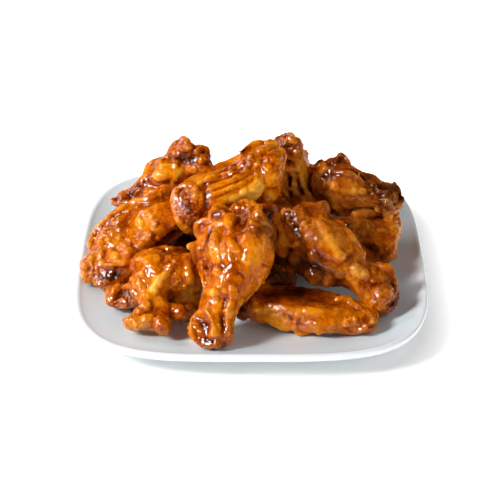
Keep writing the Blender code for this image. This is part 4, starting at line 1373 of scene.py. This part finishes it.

# %% [markdown]
# ## The drumette on the right
#
# This one leans on the heap with its knuckle down on the right. A flap of thin skin stands up at the thick
# end, the belly turns under, and the skin is pushed back in a ring round the knuckle. Flap and ring are
# thin limbs, and belly and knuckle are thick ones. The underside is crusted by strokes, since glaze runs
# off there and leaves dry brown skin, and the belly in the shade is stained darker as painted shade.

# %% Folds of the drumette on the right
def fold_right_drumette(wing):
    """Notes what stands off it."""
    # flap of skin at the thick end
    limb(wing, (0.973, 80, 9.2, 2.5), (0.947, 107, 11.8, 2.5), (0.905, 119, 15.0, 2.8),
         (0.848, 124, 16.4, 2.8), (0.774, 109, 16.7, 3.2), (0.742, 86, 17.5, 2.8))
    limb(wing, (0.983, 71, 8.8, 2.3), (0.952, 49, 10.6, 2.5), (0.904, 44, 14.3, 2.5))
    limb(wing, (0.905, 68, 14.3, 2.5), (0.850, 75, 15.0, 2.8), (0.785, 77, 16.1, 2.8))
    limb(wing, (0.792, 64, 16.3, 2.2), (0.807, 50, 16.0, 2.5), (0.798, 38, 16.0, 2.5),
         (0.793, 25, 15.0, 2.5))
    knobs(wing, (0.758, 48, 18.3, 2.5), (0.706, 49, 19.9, 2.5), (0.723, 61, 19.2, 2.4))
    # upper edge of the meat
    limb(wing, (0.800, -18, 11.9, 3.2), (0.747, -55, 14.0, 3.0), (0.632, -27, 15.7, 3.5),
         (0.544, -19, 15.5, 3.5), (0.471, -34, 12.8, 3.2), (0.398, -48, 10.9, 3.0))
    # bulge of meat down to the shank
    limb(wing, (0.733, 18, 15.9, 4.2), (0.646, 31, 18.5, 4.6), (0.555, 36, 17.4, 4.6),
         (0.479, 38, 14.3, 4.4))
    # lower edge of the shank
    limb(wing, (0.412, 60, 12.5, 2.8), (0.317, 62, 9.0, 3.0), (0.243, 64, 7.1, 3.2))
    # belly that turns under
    limb(wing, (0.605, 78, 18.1, 5.2), (0.511, 75, 16.0, 5.2), (0.421, 71, 12.1, 4.8))
    limb(wing, (0.694, 110, 16.7, 5.2), (0.644, 125, 17.2, 5.2), (0.571, 112, 18.4, 5.2))
    # end of the meat, beside the wing in front
    limb(wing, (0.858, 123, 16.2, 5.8), (0.837, 126, 22.0, 5.8), (0.795, 126, 24.4, 5.2))
    # low side of the belly
    limb(wing, (0.686, 123, 18.7, 6.7), (0.613, 124, 19.5, 6.7), (0.519, 105, 20.0, 6.7),
         (0.436, 96, 16.8, 5.9))
    limb(wing, (0.355, 25, 9.2, 4.5), (0.292, 16, 7.7, 4.2))
    # body of the knuckle
    limb(wing, (0.267, -34, 8.3, 6.3), (0.205, -52, 8.0, 6.8), (0.128, -18, 7.6, 6.8),
         (0.091, 26, 7.0, 6.3))
    # skin pulled back round the knuckle
    limb(wing, (0.330, -48, 11.9, 2.3), (0.279, -51, 13.6, 2.8), (0.236, -49, 17.3, 3.0),
         (0.190, -54, 17.6, 3.0), (0.123, -59, 13.7, 3.0), (0.070, -35, 9.5, 3.2), (0.058, 0, 6.8, 3.2))
    limb(wing, (0.229, 61, 7.1, 3.2), (0.162, 65, 7.4, 3.5), (0.102, 56, 8.6, 3.2))
    limb(wing, (0.224, 1, 8.2, 2.8), (0.172, -22, 8.8, 3.0), (0.110, -25, 9.2, 3.0))
    limb(wing, (0.069, 58, 8.1, 3.2), (0.027, 41, 5.2, 3.5), (0.030, -26, 4.8, 3.0))


note_shape("right_drumette", fold_right_drumette)


# %% Creases and colour of the drumette on the right
def brush_right_drumette(wing):
    """Notes what is pressed, stained and browned."""
    wing.browned = 0.25
    # gaps between the folds
    stroke(wing, [(0.845, 73, 16.4), (0.795, 74, 17.2)], width=2.4, height=-1.8, stain=0.6)
    stroke(wing, [(0.447, 45, 15.5), (0.439, 18, 14.7), (0.449, -9, 14.6)], width=1.4, height=-0.5,
           stain=0.25)
    # painted light: lightens a patch of the flap that lies in shade
    stroke(wing, [(0.846, 112, 17.1), (0.803, 124, 18.8)], width=5, stain=-0.6)
    # painted shade: the belly in the shade stained darker, with a little crust
    stroke(wing, [(0.661, 97, 20.4), (0.554, 84, 20.1), (0.462, 76, 16.7)], width=8, stain=0.6, crust=0.2)
    # top edge drawn down
    stroke(wing, [(0.883, 8, 13.3), (0.868, -27, 16.0), (0.801, -39, 18.7)], width=10, height=-4)
    # blistered thick end
    stroke(wing, [(0.961, 81, 11.5), (0.878, 65, 16.2), (0.807, 53, 16.9), (0.788, 35, 17.5)], width=6,
           stain=0.1, rough=0.8)
    stroke(wing, [(0.216, 22, 9.1), (0.159, -26, 10.5), (0.077, -3, 8.9)], width=7, rough=0.7)
    # dark end of the bone
    stroke(wing, [(0.035, 48, 7.5), (0.027, -37, 6.7), (0.063, -57, 13.1)], width=6, stain=0.8, rough=0.5)
    # smooth skin with little glaze
    # painted light: lightens the flap, which lies in shade
    stroke(wing, [(0.943, 104, 11.7), (0.872, 122, 16.4), (0.785, 111, 18.0)], width=6, stain=-0.45)
    stroke(wing, [(0.608, 30, 21.2), (0.514, 39, 19.0)], width=5, stain=-0.3)
    stroke(wing, [(0.733, 38, 20.1), (0.671, 43, 21.7)], width=4, stain=0.3, rough=-0.6, crust=0.4)
    stroke(wing, [(0.372, 35, 12.6), (0.281, 31, 10.1)], width=4, stain=-0.2)
    stroke(wing, [(0.681, 124, 23.9), (0.548, 113, 21.6), (0.410, 101, 17.1)], width=8, stain=0.3,
           rough=-1.3, crust=1)
    scatter_folds(wing, 7, folds=6, lumps=1, dents=2)


note_shape("right_drumette", brush_right_drumette)

# %% [markdown]
# ## The drumette at the back right
#
# This wing fried longest. Bumps sit along its top, a bulge of meat lies below them, and the knuckle is
# dark and wrinkled. Its whole skin starts browner than that of the others, by one number, so that glaze
# and crust both move to the dark side. The bumps are limbs, and the gaps between them are pressed in by
# strokes afterwards, which keeps each bump apart.

# %% Shape the drumette at the back right
def shape_right_back_drumette(wing):
    """Notes its folds, creases and stains."""
    wing.browned = 0.4
    # bumps along the top
    limb(wing, (1.040, -31, 3.1, 2.5), (0.993, -8, 8.9, 3.0), (0.932, -9, 13.0, 3.5),
         (0.877, 12, 14.2, 2.8))
    limb(wing, (0.794, 2, 15.4, 2.8), (0.749, -21, 17.4, 3.2), (0.687, -24, 17.8, 3.2),
         (0.631, -7, 16.1, 3.0))
    # gaps between them, and the outline drawn in
    stroke(wing, [(0.840, 1, 17.2), (0.826, 21, 15.0)], width=4, height=-2)
    stroke(wing, [(1.055, -17, 8.5), (0.974, -14, 13.0), (0.863, -2, 17.1)], width=7, height=-4)
    stroke(wing, [(0.564, -28, 16.9), (0.459, -6, 14.4), (0.370, 10, 12.9)], width=10, height=-6.5)
    stroke(wing, [(0.171, -30, 10.6), (0.064, -23, 8.4), (-0.007, -50, 2.1), (-0.016, 108, 3.6)], width=6,
           height=-4)
    # small folds below them
    limb(wing, (0.984, -33, 2.7, 2.5), (0.906, 57, 8.5, 2.8))
    limb(wing, (0.842, 56, 10.7, 2.2), (0.823, 76, 11.7, 2.2), (0.840, 95, 12.0, 2.0))
    # bulge of meat
    limb(wing, (0.731, 67, 13.4, 4.2), (0.677, 75, 14.4, 4.2))
    limb(wing, (0.764, 28, 13.4, 3.0), (0.658, 31, 15.5, 3.2), (0.544, 27, 15.0, 3.2),
         (0.450, 31, 12.0, 3.2))
    limb(wing, (0.617, 11, 16.4, 2.5), (0.533, 6, 15.2, 2.8), (0.450, 7, 12.9, 3.0), (0.381, 23, 11.5, 3.0))
    limb(wing, (0.605, 73, 15.1, 3.8), (0.507, 68, 12.6, 4.0), (0.434, 57, 11.0, 3.8))
    # wrinkled dark knuckle
    limb(wing, (0.346, 25, 10.9, 3.0), (0.270, 1, 9.3, 3.2), (0.182, -3, 8.2, 3.2), (0.138, -27, 9.5, 3.0),
         (0.074, -16, 7.3, 3.2), (0.029, 32, 4.8, 3.2), (0.034, 81, 8.2, 3.2))
    limb(wing, (0.284, 47, 9.5, 2.8), (0.189, 44, 9.0, 3.0))
    limb(wing, (0.276, 83, 9.2, 3.0), (0.171, 78, 10.3, 3.2), (0.086, 92, 10.6, 3.0))
    # hollow between the bumps
    stroke(wing, [(0.889, 52, 10.4), (0.823, 41, 12.6)], width=3, height=-1.8, stain=0.4)
    stroke(wing, [(1.004, -23, 6.4), (0.933, 20, 9.7)], width=6, stain=-0.5, crust=-0.3)
    stroke(wing, [(0.970, 156, 9.9), (0.869, 118, 13.4), (0.817, 131, 14.7)], width=7, stain=0.3, crust=0.5)
    stroke(wing, [(0.250, 62, 10.5), (0.093, 58, 10.9)], width=11, stain=0.45, rough=0.5, crust=0.6)
    # dark red glaze over the middle
    stroke(wing, [(0.740, 22, 15.7), (0.643, 35, 17.1), (0.567, 44, 16.6)], width=8, stain=0.45)
    stroke(wing, [(0.786, 37, 13.8), (0.721, 49, 15.9)], width=4, stain=0.4, rough=-0.3)
    stroke(wing, [(0.034, 49, 7.3), (0.017, 79, 7.5)], width=3, height=-2, stain=0.8)
    # smooth skin with little glaze
    stroke(wing, [(0.718, 68, 16.1)], width=4, stain=-0.2)
    stroke(wing, [(0.546, 53, 16.1), (0.479, 55, 14.1)], width=4.5, stain=-0.6, crust=-0.3)
    scatter_folds(wing, 8)


note_shape("right_back_drumette", shape_right_back_drumette)

# %% [markdown]
# ## The flat underneath on the right
#
# This wing carries the ones on the right, so that only its edge and a strip of its top show. A few limbs
# fill it up to the wing above and round its edge off. A stroke with a strong stain darkens the strip that
# lies right under the knuckle: painted shade, where the knuckle above shades it.

# %% Shape the flat underneath
def shape_right_lower_flat(wing):
    """Notes its folds, creases and stains."""
    wing.browned = 0.35
    # upper edge
    limb(wing, (0.350, -31, 17.7, 2.3), (0.240, -52, 19.2, 2.5), (0.137, -55, 19.7, 2.8),
         (0.038, -52, 17.9, 2.8), (-0.033, -54, 15.2, 2.5))
    # in the shade under the knuckle: filled out, and stained dark as painted shade
    limb(wing, (0.069, -50, 21.6, 3.4), (-0.002, -50, 20.3, 3.4))
    stroke(wing, [(0.049, -49, 22.3), (-0.011, -49, 20.9)], width=4, stain=0.8)
    # meat against the wing above
    limb(wing, (0.409, -34, 19.6, 3.9), (0.309, -33, 19.0, 3.9), (0.199, -52, 20.7, 3.7))
    # body under the right edge
    limb(wing, (0.059, -53, 12.8, 5.2), (0.069, 20, 9.1, 5.8), (0.097, 62, 13.4, 5.8),
         (0.117, 86, 17.0, 5.2))
    # right edge
    limb(wing, (-0.023, -56, 13.9, 2.8), (0.003, -46, 4.6, 2.8), (0.041, 70, 9.9, 3.0),
         (0.050, 96, 13.3, 3.0))
    limb(wing, (0.183, 24, 13.4, 2.8), (0.114, 31, 12.4, 2.8), (0.118, 59, 15.0, 2.8))
    limb(wing, (0.320, 12, 12.8, 3.8), (0.363, 36, 12.6, 3.8))
    limb(wing, (0.229, 61, 17.1, 2.5), (0.170, 77, 18.5, 2.8), (0.144, 98, 19.0, 2.8))
    stroke(wing, [(0.525, -5, 14.9), (0.432, 31, 14.6)], width=6, stain=0.3, rough=0.5)
    stroke(wing, [(0.102, 26, 13.1), (0.087, 67, 15.5)], width=7, stain=0.25)
    stroke(wing, [(0.338, 60, 18.3), (0.240, 73, 20.1)], width=2.4, height=-1.8, stain=0.5)
    scatter_folds(wing, 9)


note_shape("right_lower_flat", shape_right_lower_flat)

# %% [markdown]
# ## The flat in front
#
# This flat lies on the plate in front. Long folds follow its two bones, and small bumps and blisters sit
# along the edge between them. Its lower edge is full and round. Limbs would be pressed flat by the plate
# there, so that edge is lifted by a broad stroke instead. The end that lies in the shade of its neighbour
# is built out by limbs and stained dark as painted shade, and so is the top where the wing above shades it.

# %% Shape the flat in front
def shape_front_flat(wing):
    """Notes its folds, creases and stains."""
    # long folds along the two bones
    limb(wing, (0.852, 69, 11.9, 3.2), (0.746, 63, 12.3, 3.5), (0.636, 66, 13.6, 3.5),
         (0.536, 68, 14.0, 3.5))
    limb(wing, (0.562, 63, 12.9, 4.0), (0.429, 59, 12.4, 4.5), (0.299, 55, 10.8, 4.2))
    limb(wing, (0.768, 102, 12.6, 4.0), (0.629, 104, 13.1, 4.2), (0.476, 91, 14.1, 4.5),
         (0.315, 81, 13.2, 4.5))
    limb(wing, (0.322, -41, 8.2, 2.8), (0.251, -50, 9.6, 3.0), (0.190, -36, 6.8, 3.0), (0.127, 1, 4.5, 3.2))
    # full lower edge
    stroke(wing, [(0.818, 128, 15.7), (0.669, 121, 16.3), (0.519, 118, 15.2), (0.364, 97, 16.1)], width=6,
           height=1.8)
    # lumpy right end
    limb(wing, (0.107, 20, 5.1, 3.5), (0.040, 47, 5.9, 3.5), (0.044, 79, 8.6, 3.5), (0.103, 94, 11.3, 3.2))
    limb(wing, (0.224, 71, 12.9, 2.8), (0.163, 64, 11.2, 2.8))
    limb(wing, (0.926, 51, 9.4, 3.0), (0.888, 76, 12.4, 3.0), (0.861, 104, 13.1, 3.0))
    # left end, deep in the shade, built out and stained dark as painted shade
    limb(wing, (0.984, 59, 5.7, 4.8), (1.011, 100, 6.2, 4.4), (1.002, 118, 9.9, 4.2))
    stroke(wing, [(0.974, -21, 3.1), (0.997, 62, 5.1), (1.017, 103, 8.1), (1.008, 119, 12.3)], width=6,
           stain=1.3)
    # small bumps
    knobs(wing, (0.820, 70, 13.2, 2.2), (0.715, 64, 13.8, 2.2), (0.578, 77, 15.5, 2.5),
          (0.649, 72, 14.9, 2.2))
    # glazed blisters along the edge
    stroke(wing, [(0.847, 64, 13.4), (0.744, 68, 14.7), (0.646, 78, 16.1), (0.552, 93, 16.6)], width=3.2,
           stain=0.15, rough=1.2)
    stroke(wing, [(0.222, 61, 13.3), (0.135, 63, 11.8)], width=6, stain=0.1, rough=0.6)
    # red glaze along the top
    stroke(wing, [(0.808, 39, 11.0), (0.588, 22, 9.7), (0.368, 4, 7.3)], width=5, stain=0.4)
    stroke(wing, [(0.882, 123, 13.6), (0.783, 127, 17.3)], width=5, stain=0.4)
    # smooth skin with little glaze
    stroke(wing, [(0.848, 79, 14.4), (0.744, 93, 15.4), (0.629, 104, 15.7)], width=5, stain=-0.3)
    stroke(wing, [(0.476, 97, 16.5), (0.313, 89, 15.9)], width=5, stain=-0.2)
    # painted shade: darkens the top, where the wing above shades it
    stroke(wing, [(0.876, 28, 9.1), (0.720, -19, 9.1), (0.539, -43, 10.7), (0.406, -50, 12.1)], width=7,
           stain=1)
    stroke(wing, [(0.012, 54, 4.4), (0.015, 91, 8.6), (0.060, 109, 11.7)], width=5, height=-4.5)
    scatter_folds(wing, 10)


note_shape("front_flat", shape_front_flat)

# %% [markdown]
# ## The wing deep in the heap
#
# Only one end of this wing shows, between the front drumette and the one on the right. It needs no more
# than a few wet lumps on that end, stained dark as painted shade, since it lies deep in the heap. The
# rest is covered, and scattered folds are enough for what can be glimpsed from other sides.

# %% Shape the wing deep in the heap
def shape_middle_drumette(wing):
    """Notes its folds, creases and stains."""
    wing.browned = 0.5
    # wet lumps at the end
    limb(wing, (0.108, 38, 8.4, 3.0), (0.113, 10, 7.6, 3.0), (0.067, -21, 8.0, 3.0))
    limb(wing, (0.027, 0, 5.4, 2.8), (0.015, 66, 7.0, 3.0))
    # painted shade: the end stained dark, deep in the heap
    stroke(wing, [(0.057, 13, 8.2), (0.003, 30, 3.9)], width=12, stain=0.5)
    stroke(wing, [(0.040, 37, 8.4), (0.031, -32, 8.5)], width=12, stain=0.5)
    scatter_folds(wing, 11, folds=24, lumps=8, dents=12, sides=ALL_ROUND)


note_shape("middle_drumette", shape_middle_drumette)

# %% [markdown]
# ## Making every wing
#
# Now each wing goes through the same steps: its solid is copied and softened, its folds are noted, the
# limbs are melted in, the strokes are pressed, and the relief tree raises the skin. The order matters.
# Limbs need the soft body under them, strokes need the skin that the limbs changed, and the relief comes
# last, because it measures the hollows of the finished shape. Wings that no one sees from the front have
# no notes of their own and get scattered folds all round.

# %% Make the wings
SEED_STEP = 0.31   # so far apart that no two wings show the same patch of noise

for order, node in enumerate(sorted(frame["nodes"])):
    if node == "plate":
        continue
    wing = Wing(node)
    for shape in SHAPES.get(node, []):
        shape(wing)
    if node not in SHAPES:
        scatter_folds(wing, order, folds=26, lumps=10, dents=16, sides=ALL_ROUND)
    melt_limbs(wing)
    press_strokes(wing)
    run_tree(wing.item, fried_skin, along=list(wing.along), seed=SEED_STEP * order)
    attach(wing.item, "root")
    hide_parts(node)
    print(node, "faces:", len(wing.item.data.polygons))

# %% [markdown]
# ## The floor
#
# The heap stands on a plain pale floor. A floor that only sends light back would come out grey, because
# the lights are set for the food. So it glows a little by itself, which keeps it white. Beside the plate
# the glow fades, and there the floor shows just the light that falls on it: that leaves a soft shadow.
# The fade follows the same measure as the colour of the plate, so it runs round the rim, and the darker
# ring it leaves is partly cast shadow and partly painted shadow.

# %% Lay the floor
WHITE = (1, 1, 1, 1)
FLOOR_GAP = 0.4 * MM   # how far the floor lies below the foot of the plate


def make_floor():
    bpy.ops.mesh.primitive_plane_add(size=8.0, location=(0, 0, 0))
    floor = bpy.context.object
    floor.name = "pale_floor"
    material, tree, shader = new_material("pale_floor")
    # the glow is low in a ring round the plate: painted shadow, on top of the cast one
    glow = add_node(tree, "ShaderNodeMapRange", {"Value": reach_from_middle(tree), "From Min": 113 * MM,
                                                 "From Max": 135 * MM, "To Min": 0.1, "To Max": 0.8})
    fill(tree, shader, {"Base Color": (0.93, 0.90, 0.88, 1), "Roughness": 0.9, "Emission Color": WHITE,
                        "Emission Strength": glow.outputs["Result"]})
    floor.data.materials.append(material)
    floor.data.transform(Matrix.Translation((0, 0, -FLOOR_GAP)))
    return floor


floor = make_floor()
print("floor in metres:", [round(side, 1) for side in floor.dimensions[:2]])

# %% [markdown]
# ## The wall
#
# Past the floor the eye should meet plain white, from whichever side it looks. A flat backdrop would
# show its ends from the side, so the wall is round. It shines evenly, and only the camera sees it: it
# lights nothing, shades nothing, and isn't mirrored in the glaze.

# %% Put up the wall
def make_wall():
    bpy.ops.mesh.primitive_cylinder_add(vertices=96, radius=3.9, depth=4.0, end_fill_type="NOTHING")
    wall = bpy.context.object
    wall.name = "white_wall"
    material, tree, shader = new_material("white_wall")
    fill(tree, shader, {"Base Color": (0.9, 0.9, 0.9, 1), "Emission Color": WHITE, "Emission Strength": 0.9})
    wall.data.materials.append(material)
    wall.visible_diffuse = wall.visible_glossy = wall.visible_transmission = wall.visible_shadow = False
    return wall


wall = make_wall()
print("wall in metres:", [round(side, 1) for side in wall.dimensions])

# %% [markdown]
# ## Light
#
# Food is lit like a still life. One light from the left and above, the key, gives form and shadow. Large
# dim ones in front and on the right fill the shadows in, and two at the back draw the edges. A large
# light mirrored in a coat would lay a grey sheet over the wings, so the key and the fills are kept out
# of reflections. The small sharp lights on the sugar come from a light of their own beside the key,
# which lights nothing and is only mirrored. It gets one bounce, or it would leave dots in the shadows.

# %% Hang the lights
AIM = Vector((0, 0, 40 * MM))   # the middle of the heap


def add_light(name, azimuth, elevation, distance, size, watts, mirrored=True, lit=True):
    """A square softbox that looks at the heap, from a compass direction where 0 is the viewer's side."""
    light = bpy.data.lights.new(name, "AREA")
    light.shape = "SQUARE"
    light.size = size
    light.energy = watts
    item = new_object(name, light)
    turn, rise = math.radians(azimuth), math.radians(elevation)
    back = Vector((math.sin(turn) * math.cos(rise), -math.cos(turn) * math.cos(rise), math.sin(rise)))
    item.location = AIM + back * distance
    item.rotation_euler = (-back).to_track_quat("-Z", "Y").to_euler()
    item.visible_glossy = mirrored
    item.visible_diffuse = lit
    return item


add_light("key", azimuth=-66, elevation=36, distance=1.2, size=0.28, watts=14, mirrored=False)
sparkle = add_light("key_sparkle", azimuth=-62, elevation=40, distance=1.2, size=0.36, watts=28, lit=False)
sparkle.data.cycles.max_bounces = 1
add_light("left_rear", azimuth=-115, elevation=36, distance=1.4, size=0.6, watts=8)
add_light("front_fill", azimuth=-10, elevation=24, distance=1.8, size=2.0, watts=3, mirrored=False)
add_light("right_fill", azimuth=60, elevation=22, distance=1.8, size=2.2, watts=14, mirrored=False)
add_light("right_rear", azimuth=125, elevation=22, distance=1.8, size=2.2, watts=11, mirrored=False)
print("lights:", [item.name for item in bpy.data.objects if item.type == "LIGHT"])

# %% [markdown]
# ## The room
#
# Some light always comes from all sides. A world does that: this one is a little brighter at eye level
# than overhead, as a room with pale walls is, so that the sides of the heap get some light and its top
# keeps the shape that the key gives it. It isn't mirrored either.

# %% Light the room
def make_room(horizon, zenith):
    """A pale room that is bright at eye level and dim overhead."""
    world = bpy.data.worlds.new("room")
    world.use_nodes = True
    tree = world.node_tree
    place = add_node(tree, "ShaderNodeTexCoord").outputs["Generated"]
    rise = add_node(tree, "ShaderNodeSeparateXYZ", {0: place}).outputs["Z"]
    level = add_node(tree, "ShaderNodeMapRange", {"Value": rise, "From Min": 0.02, "From Max": 0.55,
                                                  "To Min": horizon, "To Max": zenith})
    fill(tree, tree.nodes["Background"], {"Color": WHITE, "Strength": level.outputs["Result"]})
    world.cycles_visibility.glossy = False
    return world


bpy.context.scene.world = make_room(horizon=0.10, zenith=0.02)
bpy.context.scene.view_settings.view_transform = "Standard"
print("world:", bpy.context.scene.world.name)

# %% [markdown]
# ## Camera
#
# The camera looks down on the plate as somebody does who sits at the table, from about a metre away. A
# wide lens from nearby would swell the front wing and shrink the back, so a long lens is used from
# there. A small shift sets the heap in the middle of the frame without turning the camera.

# %% Set the camera
LOOK_DOWN = math.radians(32.86)
DISTANCE = 1.0034
LOOK_AT_HEIGHT = 18 * MM
camera = new_object("camera", bpy.data.cameras.new("camera"))
camera.location = (0, -DISTANCE * math.cos(LOOK_DOWN), LOOK_AT_HEIGHT + DISTANCE * math.sin(LOOK_DOWN))
camera.rotation_euler = (math.pi / 2 - LOOK_DOWN, 0, 0)
camera.data.lens = 107.57
camera.data.sensor_width = 36
camera.data.shift_x = -0.0024
camera.data.shift_y = 0.0076
bpy.context.scene.camera = camera
print("camera height in mm:", round(camera.location.z / MM))
